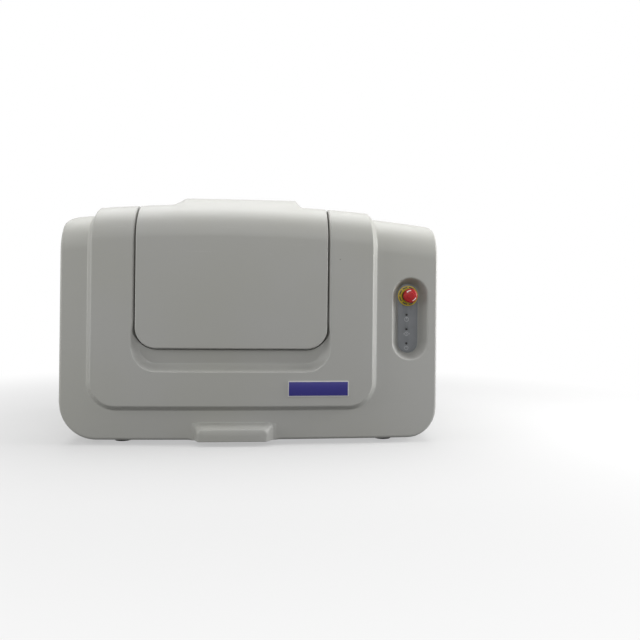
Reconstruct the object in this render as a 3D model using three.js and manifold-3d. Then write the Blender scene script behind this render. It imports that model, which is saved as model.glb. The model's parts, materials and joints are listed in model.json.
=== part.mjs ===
// Bench bioreactor of the two-axis rocking kind, in millimetres, +Z up, front towards -Y.
// A soft culture bag lies in a tray that rolls inside a ring, and the ring pitches between two
// pillars. Toothed belts drive both. A hinged moulded hood with a lift-up door covers them.
// The origin is under the middle of the whole machine, on the bench.
import * as THREE from 'three';
import { ConvexGeometry } from 'three/addons/geometries/ConvexGeometry.js';
import { mergeVertices } from 'three/addons/utils/BufferGeometryUtils.js';
import Module from 'manifold-3d';

const wasm = await Module();
wasm.setup();

// ---------------------------------------------------------------- driving dimensions

const WIDTH = 1028;            // hood, side to side
const DEPTH = 740;             // pull lip to gas ports
const HEIGHT = 681;            // bench to the top of the door's hump
const HOOD_FOOT = 13;          // hood's lower edge above the bench
const WALL = 4;                // hood and rear housing
const CLEAR = 0.3;             // gap left between pieces that touch
const DOOR_X = -55;            // centre line of the door and of the rocking parts
const MIDDLE_X = -50;          // centre line of the raised layer
const CROWN_RADIUS = 4400;     // arch of the top, side to side
const BOW_RADIUS = 6500;       // bow of the front in plan
const ROUND = 100;             // turn from front to top
const EDGE_ROUND = 8;          // turn from front to sides

// The hood is moulded in layers: each stands forward of the one around it.
const STEP = 16;               // front of the raised layer before the outer one, and its top above it
const STEP_SLOPE = 17;         // run of the slanted side of that step
const HUMP_RISE = 22;

// Outer layer of the moulding
const OUTER = {
  left: -WIDTH / 2, right: WIDTH / 2, foot: HOOD_FOOT,
  top: HEIGHT - HUMP_RISE - STEP, crownX: -25, front: -DEPTH / 2 + 27,
  corners: { footLeft: 100, footRight: 82, topRight: 20, topLeft: 36 },
};
// Raised layer
const BESIDE = 122;            // outer layer that shows beside the raised one, were both centred
const MIDDLE = {
  left: MIDDLE_X - WIDTH / 2 + BESIDE, right: MIDDLE_X + WIDTH / 2 - BESIDE, foot: 100,
  top: HEIGHT - HUMP_RISE, crownX: MIDDLE_X, front: OUTER.front - STEP,
  corners: { footLeft: 80, footRight: 80, topRight: 27, topLeft: 27 },
};

// Door, with a hump along its top
const DOOR = { half: 260.5, foot: 256, corner: 60, gap: 4, back: -70, skin: 3.5, returnDepth: 18 };
const REBATE = 22;             // depth of the sealing flange behind the door
const FLANGE = 12;             // width of that flange
const HUMP = { footLeft: -175, footRight: 191, left: -132.5, right: 169.5, setBack: 107 };
const HINGE_RISE = 13;         // hinge lines above the raised layer's top
const BARREL = 9;              // radius of the door's hinge barrel
const DOOR_PIN = 8;            // diameter

// Finger trough under the door
const TROUGH = { lip: 200, crease: 218, depth: 24, topDepth: 15, top: DOOR.foot + 6, corner: 65 };

// Pull lip at the bottom of the front
const LIP = { left: -99, right: 115.5, faceLeft: -87, faceRight: 95, faceTop: 40, top: 53, chamfer: 8 };

// Stop-button recess in the outer layer, on the right
const RECESS = {
  x: WIDTH / 2 - 78, z: 344, width: 99, height: 227, depth: 36, floorWidth: 58, floorHeight: 195,
};
const LEDGE = 6;               // of the recess floor, behind the panel's rim
const PANEL_THICK = 2;
const STOP_Z = 408;
const STOP = { plate: 58, collar: 30, collarDepth: 16, head: 40, stem: 14, travel: 4, spare: 3.6 };
const KEYS = { x: RECESS.x - 3, heights: [354, 313, 273], diameter: 6, travel: 0.8, spare: 0.4 };

// Nameplate on the raised layer
const NAMEPLATE = { x: MIDDLE.right - 163, z: 153, width: 166, height: 43, thick: 1.2, corner: 3 };

// Rear housing, and the parting line between it and the hood
const HOUSING_BACK = DEPTH / 2 - 14;
const HOUSING_DEPTH = 107;
const PARTING = HOUSING_BACK - HOUSING_DEPTH;
const PARTING_GAP = 2;
const HINGE_Z = MIDDLE.top + HINGE_RISE;
const HOOD_HINGE = { offset: 250, barrel: 8, leaf: 4, length: 60, reach: 52, pin: 7 };

// Base pan and feet
const PAN_LEFT = OUTER.left + 104;
const PAN_BEHIND_HOOD = 11.069;  // gap from the bowed front wall to the pan's left front corner
const PAN = {
  left: PAN_LEFT, right: OUTER.right - 86,
  front: OUTER.front + PAN_LEFT ** 2 / (2 * BOW_RADIUS) + WALL + PAN_BEHIND_HOOD, back: HOUSING_BACK - 6,
  z: 12, thick: 3, lip: 12,
};
const FOOT = { inset: 55, diameter: 50, height: 12 };
const BUMPER = { inset: 115, setBack: 12, diameter: 18, height: 12 };

// Rocking gimbal
const PIVOT_Y = -45;
const PIVOT_Z = 280;
const RING = { length: 650, depth: 440, tube: 26 };
const TRAY_GAP = { ends: 19, sides: 24 };  // running gap between the tray and the ring
const TRAY = {
  length: RING.length - 2 * (RING.tube + TRAY_GAP.ends),
  depth: RING.depth - 2 * (RING.tube + TRAY_GAP.sides),
  floor: 3, wall: 3, below: 48, above: 14, corner: 30,
};
const TRUNNION = 20;           // diameter
const BEARING = { outer: 37, width: 12 };
const PILLAR = { thick: 12, gap: 10, footWidth: 170, headRadius: 30, footDepth: 34 };
const BAG = { length: TRAY.length - 60, depth: TRAY.depth - 50, thick: 84 };

// Belt drives, pitch of teeth 10
const TOOTH = 10;
const BELT = { width: 12, thick: 2.2, gap: 0.5 };
const FLANGE_ARC = 8;
const PULLEY = { large: 27, small: 9, width: 14, flange: 1.5, rim: 3, toothDepth: 2.2 };
const PITCH_DRIVE = 180;       // from pivot down to the motor's shaft
const ROLL_DRIVE = 112;
const MOTOR = { diameter: 46, length: 88, shaft: 8, boss: 22 };

// ---------------------------------------------------------------- materials

const paint = (name, color, roughness, metalness = 0) =>
  new THREE.MeshStandardMaterial({ name, color, roughness, metalness });
const MOULDING = paint('warm_grey_moulding', 0xb9b9b3, 0.5);
const STEEL = paint('bright_steel', 0xc4c7ca, 0.3, 1);
const ALUMINIUM = paint('anodised_aluminium', 0xaeb1b5, 0.42, 1);
const ZINC = paint('zinc_sheet', 0x9ea3a8, 0.45, 1);
const DARK = paint('black_plastic', 0x17181a, 0.5);
const RUBBER = paint('black_rubber', 0x111112, 0.85);
const RED = paint('red_plastic', 0xc3141c, 0.35);
const YELLOW = paint('yellow_plate', 0xe8c21c, 0.45);
const BLUE = paint('blue_plate', 0x0a0078, 0.4);
const PANEL = paint('grey_panel', 0x6c7076, 0.45);
const SILICONE = paint('orange_silicone', 0xb5532a, 0.7);
const BAG_FILM = paint('clear_film', 0xd9e2e2, 0.15);
const WHITE = paint('white_plastic', 0xe6e6e2, 0.4);

// ---------------------------------------------------------------- solids from three.js shapes

// A closed mesh with shared vertices becomes a solid that can be joined and cut.
function solid(geometry) {
  const bare = geometry.clone();
  bare.deleteAttribute('normal');
  bare.deleteAttribute('uv');
  const merged = mergeVertices(bare, 1e-4);
  const vertProperties = new Float32Array(merged.attributes.position.array);
  const triVerts = new Uint32Array(merged.index.array);
  return new wasm.Manifold(new wasm.Mesh({ numProp: 3, vertProperties, triVerts }));
}

// Facets that lie within TIDY of each other's plane are merged on the way out.
const TIDY = 0.03;
function geometryOf(body) {
  const mesh = body.simplify(TIDY).getMesh();
  const geometry = new THREE.BufferGeometry();
  geometry.setAttribute('position', new THREE.BufferAttribute(new Float32Array(mesh.vertProperties), 3));
  geometry.setIndex(new THREE.BufferAttribute(new Uint32Array(mesh.triVerts), 1));
  geometry.computeVertexNormals();
  return geometry;
}

const join = (...bodies) => bodies.reduce((sum, body) => sum.add(body));
const cut = (body, ...tools) => tools.reduce((rest, tool) => rest.subtract(tool), body);
const hull = (points) => solid(new ConvexGeometry(points));

function cornersOf(body) {
  const { vertProperties } = body.getMesh();
  const points = [];
  for (let i = 0; i < vertProperties.length; i += 3) {
    points.push(new THREE.Vector3(vertProperties[i], vertProperties[i + 1], vertProperties[i + 2]));
  }
  return points;
}

// Prisms along each axis. A shape's own x and y become the two named axes.
const AXES = {
  x: new THREE.Matrix4().makeBasis(
    new THREE.Vector3(0, 1, 0), new THREE.Vector3(0, 0, 1), new THREE.Vector3(1, 0, 0)),
  y: new THREE.Matrix4().makeBasis(
    new THREE.Vector3(1, 0, 0), new THREE.Vector3(0, 0, 1), new THREE.Vector3(0, -1, 0)),
  z: new THREE.Matrix4(),
};

// Each arc of the shape gets twice `arcSteps` facets.
function prism(axis, shape, from, to, arcSteps = 4) {
  const depth = to - from;
  const geometry = new THREE.ExtrudeGeometry(shape, { depth, bevelEnabled: false, curveSegments: arcSteps });
  geometry.applyMatrix4(AXES[axis]);
  const shift = { x: [from, 0, 0], y: [0, to, 0], z: [0, 0, from] }[axis];
  return solid(geometry.translate(...shift));
}

function box(x0, x1, y0, y1, z0, z1) {
  const geometry = new THREE.BoxGeometry(x1 - x0, y1 - y0, z1 - z0);
  return solid(geometry.translate((x0 + x1) / 2, (y0 + y1) / 2, (z0 + z1) / 2));
}

function circle(x, y, radius) {
  const shape = new THREE.Shape();
  shape.absarc(x, y, radius, 0, Math.PI * 2, false);
  return shape;
}

// Round bar along an axis through the point (u, v) of the plane across it
const rod = (axis, u, v, diameter, from, to, arcSteps = 8) =>
  prism(axis, circle(u, v, diameter / 2), from, to, arcSteps);

function roundedRect(x0, x1, y0, y1, radius) {
  const shape = new THREE.Shape();
  shape.absarc(x1 - radius, y0 + radius, radius, -Math.PI / 2, 0, false);
  shape.absarc(x1 - radius, y1 - radius, radius, 0, Math.PI / 2, false);
  shape.absarc(x0 + radius, y1 - radius, radius, Math.PI / 2, Math.PI, false);
  shape.absarc(x0 + radius, y0 + radius, radius, Math.PI, Math.PI * 1.5, false);
  shape.closePath();
  return shape;
}

function polygon(points) {
  return new THREE.Shape(points.map(([x, y]) => new THREE.Vector2(x, y)));
}

// ---------------------------------------------------------------- scene graph

const machine = new THREE.Group();
machine.name = 'bench_bioreactor';

function place(name, body, material, parent = machine) {
  const mesh = new THREE.Mesh(body.isBufferGeometry ? body : geometryOf(body), material);
  mesh.name = name;
  parent.add(mesh);
  return mesh;
}

// ---------------------------------------------------------------- form of the moulding

// Height of a layer's arched top, and place of its bowed front, at x
const crown = (layer, x) => layer.top - (x - layer.crownX) ** 2 / (2 * CROWN_RADIUS);
const bow = (x) => x ** 2 / (2 * BOW_RADIUS);
const face = (layer, x) => layer.front + bow(x);

const BOW_STEPS = 6;
const ROUND_STEPS = 5;

// Convex block under a layer's surface, set in by `inset` all over and open-ended below
function surfaceBlock(layer, inset, back, low = -40) {
  const turn = EDGE_ROUND - inset;
  const xs = [];
  for (let i = 0; i <= BOW_STEPS; i += 1) {
    xs.push(THREE.MathUtils.lerp(OUTER.left + EDGE_ROUND, OUTER.right - EDGE_ROUND, i / BOW_STEPS));
  }
  const points = [];
  const station = (x, y, top) => {
    const round = ROUND - inset;
    points.push(new THREE.Vector3(x, y, low), new THREE.Vector3(x, back, low));
    points.push(new THREE.Vector3(x, back, top));
    for (let k = 0; k <= ROUND_STEPS; k += 1) {
      const angle = (k / ROUND_STEPS) * (Math.PI / 2);
      const dy = round * (1 - Math.cos(angle));
      points.push(new THREE.Vector3(x, y + dy, top - round * (1 - Math.sin(angle))));
    }
  };
  xs.forEach((x) => station(x, face(layer, x) + inset, crown(layer, x) - inset));
  for (const side of [-1, 1]) {
    for (let k = 1; k <= 2 && turn > 0.5; k += 1) {
      const angle = (k / 2) * (Math.PI / 2);
      const x = side * (WIDTH / 2 - EDGE_ROUND + turn * Math.sin(angle));
      station(x, face(layer, x) + inset + turn * (1 - Math.cos(angle)), crown(layer, x) - inset);
    }
  }
  return hull(points);
}

// Outline of a layer seen from the front. Over its top corners it runs clear of the arch.
function outline(layer, inset) {
  const { footLeft, footRight, topLeft, topRight } = layer.corners;
  const [left, right, foot] = [layer.left + inset, layer.right - inset, layer.foot + inset];
  const corner = (radius) => Math.max(radius - inset, 2);
  const shape = new THREE.Shape();
  const topCorner = (x, side, radius) => {
    const inner = x - side * radius;
    return [inner, crown(layer, inner) - inset - radius];
  };
  const [lr, rr, tr, tl] = [footLeft, footRight, topRight, topLeft].map(corner);
  const rightTop = topCorner(right, 1, tr);
  const leftTop = topCorner(left, -1, tl);
  shape.absarc(right - rr, foot + rr, rr, -Math.PI / 2, 0, false);
  shape.absarc(rightTop[0], rightTop[1], tr, 0, Math.PI / 2, false);
  shape.lineTo(DOOR_X + 60, layer.top + 60);
  shape.lineTo(DOOR_X - 60, layer.top + 60);
  shape.absarc(leftTop[0], leftTop[1], tl, Math.PI / 2, Math.PI, false);
  shape.absarc(left + lr, foot + lr, lr, Math.PI, Math.PI * 1.5, false);
  shape.closePath();
  return shape;
}

const FAR_FRONT = -500;
function outerBlock(inset, back) {
  return surfaceBlock(OUTER, inset, back).intersect(prism('y', outline(OUTER, inset), FAR_FRONT, back));
}

// The raised layer stands on the outer one with slanted sides
function middleBlock(inset, back) {
  const root = surfaceBlock(OUTER, inset, back)
    .intersect(prism('y', outline(MIDDLE, inset), FAR_FRONT, back));
  const crest = surfaceBlock(MIDDLE, inset, back)
    .intersect(prism('y', outline(MIDDLE, inset + STEP_SLOPE), FAR_FRONT, back));
  return hull([...cornersOf(root), ...cornersOf(crest)]);
}

// Everything within the door's opening grown by `grow`, from the front over the top to its hinge
function doorway(grow) {
  const { half, foot, corner, back } = DOOR;
  const radius = corner + grow;
  const shape = new THREE.Shape();
  shape.absarc(DOOR_X + half + grow - radius, foot - grow + radius, radius, -Math.PI / 2, 0, false);
  shape.lineTo(DOOR_X + half + grow, MIDDLE.top + 80);
  shape.lineTo(DOOR_X - half - grow, MIDDLE.top + 80);
  shape.absarc(DOOR_X - half - grow + radius, foot - grow + radius, radius, Math.PI, Math.PI * 1.5, false);
  shape.closePath();
  return prism('y', shape, FAR_FRONT, back + grow);
}

const HOOD_BACK = PARTING - PARTING_GAP / 2;
const floorLeft = OUTER.left + OUTER.corners.footLeft;
const floorRight = OUTER.right - OUTER.corners.footRight;

// ---------------------------------------------------------------- hood

const middleSkin = middleBlock(0, HOOD_BACK);
const underRebate = middleBlock(REBATE + WALL, HOOD_BACK);

function hoodShell() {
  const outside = join(outerBlock(0, HOOD_BACK), middleSkin);
  const inside = join(
    outerBlock(WALL, HOOD_BACK + 1), middleBlock(WALL, HOOD_BACK + 1),
    box(floorLeft, floorRight, OUTER.front + WALL + bow(OUTER.right), HOOD_BACK + 1, -20, OUTER.foot + 40));
  return cut(outside, inside);
}

function stadium(x, z, width, height) {
  const shape = new THREE.Shape();
  const radius = width / 2;
  const half = height / 2 - radius;
  shape.absarc(x, z + half, radius, 0, Math.PI, false);
  shape.absarc(x, z - half, radius, Math.PI, Math.PI * 2, false);
  shape.closePath();
  return shape;
}

const RECESS_FACE = face(OUTER, RECESS.x);
const RECESS_FLOOR = RECESS_FACE + RECESS.depth;

// Tapered stadium from a depth in front of the face down to a depth behind it, grown by `grow`
function recessPlug(grow, fromDepth, toDepth) {
  const points = [];
  for (const depth of [fromDepth, toDepth]) {
    const share = depth / RECESS.depth;
    const width = THREE.MathUtils.lerp(RECESS.width, RECESS.floorWidth, share) + 2 * grow;
    const height = THREE.MathUtils.lerp(RECESS.height, RECESS.floorHeight, share) + 2 * grow;
    for (const p of stadium(RECESS.x, RECESS.z, width, height).getPoints(8)) {
      points.push(new THREE.Vector3(p.x, RECESS_FACE + depth, p.y));
    }
  }
  return hull(points);
}

function troughSection(grow) {
  const y = MIDDLE.front;
  const { lip, crease, depth, topDepth, top } = TROUGH;
  return polygon([
    [y - 40, lip - 32 - grow], [y - 2, lip - 2 - grow], [y + depth + grow, crease - grow],
    [y + topDepth + grow, top + grow], [y - 40, top + grow],
  ]);
}

function troughOutline(grow) {
  const half = DOOR.half + grow;
  const radius = TROUGH.corner + grow;
  const foot = TROUGH.lip - grow;
  const shape = new THREE.Shape();
  shape.absarc(DOOR_X + half - radius, foot + radius, radius, -Math.PI / 2, 0, false);
  shape.lineTo(DOOR_X + half, TROUGH.top + 40);
  shape.lineTo(DOOR_X - half, TROUGH.top + 40);
  shape.absarc(DOOR_X - half + radius, foot + radius, radius, Math.PI, Math.PI * 1.5, false);
  shape.closePath();
  return shape;
}

function trough(grow) {
  const across = prism('x', troughSection(grow), OUTER.left, OUTER.right);
  return across.intersect(prism('y', troughOutline(grow), FAR_FRONT, 0));
}

// Block with bevelled corners that swells forward from the outer face
function pullLip(inset, low) {
  const front = -DEPTH / 2 + inset;
  const root = OUTER.front + 6;
  const ring = (y, left, right, top) => [
    [left + inset, low], [left + inset, top - LIP.chamfer - inset],
    [left + LIP.chamfer + inset, top - inset], [right - LIP.chamfer - inset, top - inset],
    [right - inset, top - LIP.chamfer - inset], [right - inset, low],
  ].map(([x, z]) => new THREE.Vector3(DOOR_X + x, y, z));
  return hull([
    ...ring(front, LIP.faceLeft, LIP.faceRight, LIP.faceTop),
    ...ring(root, LIP.left - 2, LIP.right + 2, LIP.top + 4),
  ]);
}

const hingeXs = [DOOR_X - HOOD_HINGE.offset, DOOR_X + HOOD_HINGE.offset];
const HINGE_PAD = HINGE_Z - HOOD_HINGE.barrel - 0.6;

// Flat pads moulded on the arched top, where the hinge leaves are screwed down
function hingePads(fromY, toY) {
  const half = HOOD_HINGE.length / 2 + 4;
  return hingeXs.map((x) => box(x - half, x + half, fromY, toY, crown(MIDDLE, x) - WALL / 4, HINGE_PAD));
}

// The shut hood rests on two rubber bumpers on the pan
const bumperXs = [PAN.left + BUMPER.inset, PAN.right - BUMPER.inset];
const BUMPER_Y = PAN.front + BUMPER.setBack;

const doorPostXs = [DOOR_X + HUMP.footLeft - 12, DOOR_X + HUMP.footRight + 12];

function hood() {
  const rebateWall = cut(middleSkin, underRebate).intersect(cut(doorway(WALL), doorway(0)));
  const flange = cut(middleBlock(REBATE, HOOD_BACK), underRebate)
    .intersect(cut(doorway(WALL / 2), doorway(-FLANGE)));
  const troughWall = trough(WALL).intersect(middleSkin);
  const recessWall = recessPlug(WALL, 0.5, RECESS.depth + WALL);
  const lipShell = cut(pullLip(0, HOOD_FOOT), pullLip(WALL, 0));
  const lugs = bumperXs.map((x) => box(
    x - 20, x + 20, face(OUTER, x) + WALL / 2, BUMPER_Y + BUMPER.diameter / 2,
    PAN.z + PAN.thick + BUMPER.height + 2 * CLEAR, PAN.z + PAN.thick + BUMPER.height + 20));
  const pads = hingePads(HOOD_BACK - HOOD_HINGE.reach - 4, HOOD_BACK);
  const floorWindow = prism('y', stadium(RECESS.x, RECESS.z,
    RECESS.floorWidth - 2 * LEDGE, RECESS.floorHeight - 2 * LEDGE), RECESS_FACE, RECESS_FLOOR + 20);
  const opened = cut(hoodShell(), doorway(0));
  const walls = [rebateWall, flange, cut(troughWall, doorway(0)), recessWall, lipShell];
  const built = join(opened, ...walls, ...lugs, ...pads);
  return cut(built, trough(0), recessPlug(0, -14, RECESS.depth), floorWindow);
}

place('hood', hood(), MOULDING);

// ---------------------------------------------------------------- door

function door() {
  const { gap, skin, returnDepth, back } = DOOR;
  const within = doorway(-gap);
  const sheet = cut(middleSkin, middleBlock(skin, HOOD_BACK)).intersect(within);
  const returns = cut(middleSkin, middleBlock(returnDepth, HOOD_BACK))
    .intersect(cut(within, doorway(-gap - skin)));
  const humpTop = HEIGHT;
  const rise = [];
  for (const [x, z] of [[HUMP.footLeft, MIDDLE.top - 6], [HUMP.footRight, MIDDLE.top - 6],
    [HUMP.left, humpTop], [HUMP.right, humpTop]]) {
    rise.push(new THREE.Vector3(DOOR_X + x, MIDDLE.front + HUMP.setBack + (humpTop - z) * -0.5, z));
    rise.push(new THREE.Vector3(DOOR_X + x, back, z));
  }
  const barrelEnds = [DOOR_X + HUMP.footLeft - 5, DOOR_X + HUMP.footRight + 5];
  const barrel = rod('x', back, HINGE_Z, 2 * BARREL, ...barrelEnds, 8);
  const bore = rod('x', back, HINGE_Z, DOOR_PIN + 2 * CLEAR, barrelEnds[0] - 1, barrelEnds[1] + 1, 6);
  const hump = cut(hull(rise), middleBlock(1, HOOD_BACK));
  return cut(join(sheet, returns, hump, barrel), bore);
}

place('door', door(), MOULDING);

// Soft seal on the flange behind the door
const sealGap = 2 * CLEAR;
place('door_seal', cut(middleBlock(DOOR.returnDepth + sealGap, HOOD_BACK), middleBlock(REBATE - CLEAR, HOOD_BACK))
  .intersect(cut(doorway(-DOOR.gap), doorway(-DOOR.gap - 7))), RUBBER);

// Posts beside the hump, each with a stub pin that enters the barrel
doorPostXs.forEach((x, i) => {
  const inward = i === 0 ? 1 : -1;
  const y = DOOR.back + 26;
  const foot = crown(MIDDLE, x) + 2;
  const cheek = prism('x', polygon([
    [DOOR.back - 7, HINGE_Z - 4], [DOOR.back - 3, HINGE_Z + 8], [DOOR.back + 6, HINGE_Z + 8],
    [y + 14, foot + 5], [y + 14, foot], [DOOR.back + 6, foot],
  ]), x - 4, x + 4);
  const sole = box(x - 11, x + 11, DOOR.back + 8, y + 22, foot, foot + 3.5);
  const pinEnds = [x, x + inward * 30].sort((a, b) => a - b);
  const pin = rod('x', DOOR.back, HINGE_Z, DOOR_PIN, ...pinEnds, 6);
  place(`door_hinge_${i === 0 ? 'left' : 'right'}`, join(cheek, sole, pin), STEEL);
});

// ---------------------------------------------------------------- stop button and keys

const panelTop = RECESS_FLOOR - PANEL_THICK;
const stopHole = STOP.stem + 8.6;
{
  const plate = prism('y', stadium(RECESS.x, RECESS.z, RECESS.floorWidth - 1, RECESS.floorHeight - 1),
    panelTop - CLEAR, RECESS_FLOOR - CLEAR, 6);
  const keyHoles = KEYS.heights.map((z) =>
    rod('y', KEYS.x, z, KEYS.diameter + 0.8, panelTop - 5, RECESS_FLOOR + 5, 8));
  const hole = rod('y', RECESS.x, STOP_Z, stopHole, panelTop - 5, RECESS_FLOOR + 5);
  place('control_panel', cut(plate, hole, ...keyHoles), PANEL);
}

KEYS.heights.forEach((z, i) => {
  const front = panelTop - CLEAR - KEYS.travel - KEYS.spare;
  const cap = rod('y', KEYS.x, z, KEYS.diameter, front, RECESS_FLOOR + 1, 8);
  const rim = rod('y', KEYS.x, z, KEYS.diameter + 3, RECESS_FLOOR + CLEAR, RECESS_FLOOR + 2, 8);
  place(`key_${i + 1}`, join(cap, rim), DARK);
});

// Piece turned about an axis: the profile is (radius, distance along the axis), going up its outside.
function turned(direction, profile, facets = 16) {
  const points = profile.map(([radius, along]) => new THREE.Vector2(radius, along));
  const geometry = new THREE.LatheGeometry(points, facets);
  const turn = { forward: Math.PI, up: Math.PI / 2, back: 0 }[direction];
  return geometry.rotateX(turn);
}

const plateBack = panelTop - 2 * CLEAR;
const plateFront = plateBack - 1.5;
const collarFront = plateFront - CLEAR - STOP.collarDepth;
{
  const ring = prism('y', circle(RECESS.x, STOP_Z, STOP.plate / 2), plateFront, plateBack, 8);
  const clipped = ring.intersect(recessPlug(-CLEAR, -10, RECESS.depth));
  place('stop_legend_plate', cut(clipped,
    rod('y', RECESS.x, STOP_Z, stopHole, plateFront - 1, plateBack + 1)), YELLOW);
}
{
  const flange = rod('y', RECESS.x, STOP_Z, STOP.collar, collarFront, plateFront - CLEAR, 8);
  const neck = rod('y', RECESS.x, STOP_Z, stopHole - 0.6, plateFront - 2, RECESS_FLOOR + WALL + 8, 8);
  const bore = rod('y', RECESS.x, STOP_Z, STOP.stem + 0.8, plateFront - 40, RECESS_FLOOR + 40, 6);
  place('stop_collar', cut(join(flange, neck), bore), DARK);
}
{
  const back = RECESS_FLOOR + WALL + 8 + CLEAR;
  const block = box(RECESS.x - 17, RECESS.x + 17, back, back + 40, STOP_Z - 24, STOP_Z + 24);
  const bore = rod('y', RECESS.x, STOP_Z, STOP.stem + 0.8, back - 1, back + 16, 6);
  place('stop_contact_block', cut(block, bore), DARK);
}
const headBack = collarFront - STOP.travel - STOP.spare;
place('stop_plunger', rod('y', RECESS.x, STOP_Z, STOP.stem, headBack + CLEAR,
  RECESS_FLOOR + WALL + 8 + CLEAR + 10, 6), STEEL);
{
  const r = STOP.head / 2;
  const profile = [[0, 0], [r - 3, 0], [r, 3], [r, 7], [r - 2.5, 11], [r - 7, 13], [10, 13.2], [9.5, 15], [0, 15.4]];
  place('stop_head', turned('forward', profile, 20).translate(RECESS.x, headBack, STOP_Z), RED);
}

// ---------------------------------------------------------------- nameplate

{
  const plate = prism('y', roundedRect(-NAMEPLATE.width / 2, NAMEPLATE.width / 2,
    -NAMEPLATE.height / 2, NAMEPLATE.height / 2, NAMEPLATE.corner), -NAMEPLATE.thick, 0, 3);
  const mesh = place('nameplate', plate, BLUE);
  mesh.position.set(NAMEPLATE.x, face(MIDDLE, NAMEPLATE.x) - CLEAR, NAMEPLATE.z);
  mesh.rotation.z = Math.atan(NAMEPLATE.x / BOW_RADIUS);
}

// ---------------------------------------------------------------- hood hinges

const HINGE_ARC = 6;

// Leaf and knuckles as one section, along X. `side` is -1 for the hood's leaf, 1 for the housing's.
function hingeLeaf(x, side, spans) {
  const { barrel, leaf, reach, pin, length } = HOOD_HINGE;
  const bottom = HINGE_PAD + CLEAR;
  const plateFrom = barrel + 1.5;
  const ends = [PARTING + side * plateFrom, PARTING + side * reach].sort((a, b) => a - b);
  const plate = box(x - length / 2, x + length / 2, ...ends, bottom, bottom + leaf);
  const webEnds = [PARTING + side * 2, PARTING + side * (plateFrom + 2)].sort((a, b) => a - b);
  const knuckles = spans.map(([from, to]) => join(
    rod('x', PARTING, HINGE_Z, 2 * barrel, x + from, x + to, HINGE_ARC),
    box(x + from, x + to, ...webEnds, bottom, bottom + leaf)));
  const bore = rod('x', PARTING, HINGE_Z, pin + 2 * CLEAR, x - length, x + length, HINGE_ARC);
  return cut(join(plate, ...knuckles), bore);
}

hingeXs.forEach((x, i) => {
  const name = i === 0 ? 'left' : 'right';
  const half = HOOD_HINGE.length / 2;
  const third = HOOD_HINGE.length / 6;
  place(`hood_hinge_leaf_${name}`, hingeLeaf(x, -1, [[-third, third]]), ZINC);
  const fixed = hingeLeaf(x, 1, [[-half, -third - 0.6], [third + 0.6, half]]);
  const pin = join(
    rod('x', PARTING, HINGE_Z, HOOD_HINGE.pin, x - half - 2, x + half + 2, HINGE_ARC),
    ...[-1, 1].map((side) => rod('x', PARTING, HINGE_Z, HOOD_HINGE.pin + 3,
      ...[x + side * half, x + side * (half + 2.5)].sort((a, b) => a - b), HINGE_ARC)));
  place(`housing_hinge_leaf_${name}`, join(fixed, pin), ZINC);
});

// ---------------------------------------------------------------- base pan and feet

{
  const floor = prism('z', roundedRect(PAN.left, PAN.right, PAN.front, PAN.back, 20), PAN.z, PAN.z + PAN.thick, 3);
  const rim = cut(
    prism('z', roundedRect(PAN.left, PAN.right, PAN.front, PAN.back, 20), PAN.z, PAN.z + PAN.lip, 3),
    prism('z', roundedRect(PAN.left + 2, PAN.right - 2, PAN.front + 2, PAN.back - 2, 18), PAN.z - 1, PAN.z + 60, 3));
  place('base_pan', join(floor, rim), ZINC);
}
let footNumber = 0;
for (const y of [PAN.front + FOOT.inset, PAN.back - FOOT.inset]) {
  for (const x of [PAN.left + FOOT.inset, PAN.right - FOOT.inset]) {
    footNumber += 1;
    const pad = rod('z', x, y, FOOT.diameter, 0, FOOT.height - CLEAR, 8);
    place(`foot_${footNumber}`, pad, RUBBER);
  }
}
bumperXs.forEach((x, i) => {
  const z = PAN.z + PAN.thick + CLEAR;
  place(`hood_bumper_${i === 0 ? 'left' : 'right'}`,
    rod('z', x, BUMPER_Y, BUMPER.diameter, z, z + BUMPER.height, 6), RUBBER);
});

// ---------------------------------------------------------------- rear housing

const HOUSING_FRONT = PARTING + PARTING_GAP / 2;
const PORT_XS = [-190, -140];
const INLET = { x: -300, z: 110, width: 58, height: 48 };
const ROCKER_PIVOT = -6;
const ROCKER_TILT = 6;
{
  const slab = (inset, from, to) => {
    const whole = join(outerBlock(inset, to), middleBlock(inset, to));
    return whole.intersect(box(-WIDTH, WIDTH, from, to, -50, 900));
  };
  const hollow = join(
    slab(WALL, HOUSING_FRONT - 1, HOUSING_BACK - WALL),
    box(PAN.left - 2, PAN.right + 2, HOUSING_FRONT - 1, PAN.back + 1.5, -20, PAN.z + PAN.lip + 14));
  const vents = [];
  for (let i = 0; i < 8; i += 1) {
    const x = 130 + i * 28;
    vents.push(prism('y', stadium(x, 420, 9, 110), HOUSING_BACK - 20, HOUSING_BACK + 5, 2));
  }
  const ports = PORT_XS.map((x) => rod('y', x, INLET.z, 17, HOUSING_BACK - 20, HOUSING_BACK + 5, 8));
  const inlet = box(INLET.x - INLET.width / 2, INLET.x + INLET.width / 2, HOUSING_BACK - 20, HOUSING_BACK + 5,
    INLET.z - INLET.height / 2, INLET.z + INLET.height / 2);
  const pads = hingePads(HOUSING_FRONT, PARTING + HOOD_HINGE.reach + 4);
  place('rear_housing', cut(join(cut(slab(0, HOUSING_FRONT, HOUSING_BACK), hollow), ...pads),
    inlet, ...vents, ...ports), MOULDING);
}
{
  const inset = WALL + CLEAR + 0.1;
  const plate = join(outerBlock(inset, HOUSING_FRONT + 5), middleBlock(inset, HOUSING_FRONT + 5))
    .intersect(box(-WIDTH, WIDTH, HOUSING_FRONT + 2, HOUSING_FRONT + 4.5, PAN.z + PAN.lip + 9, 900));
  place('rear_bulkhead', plate, ZINC);
}

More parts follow.
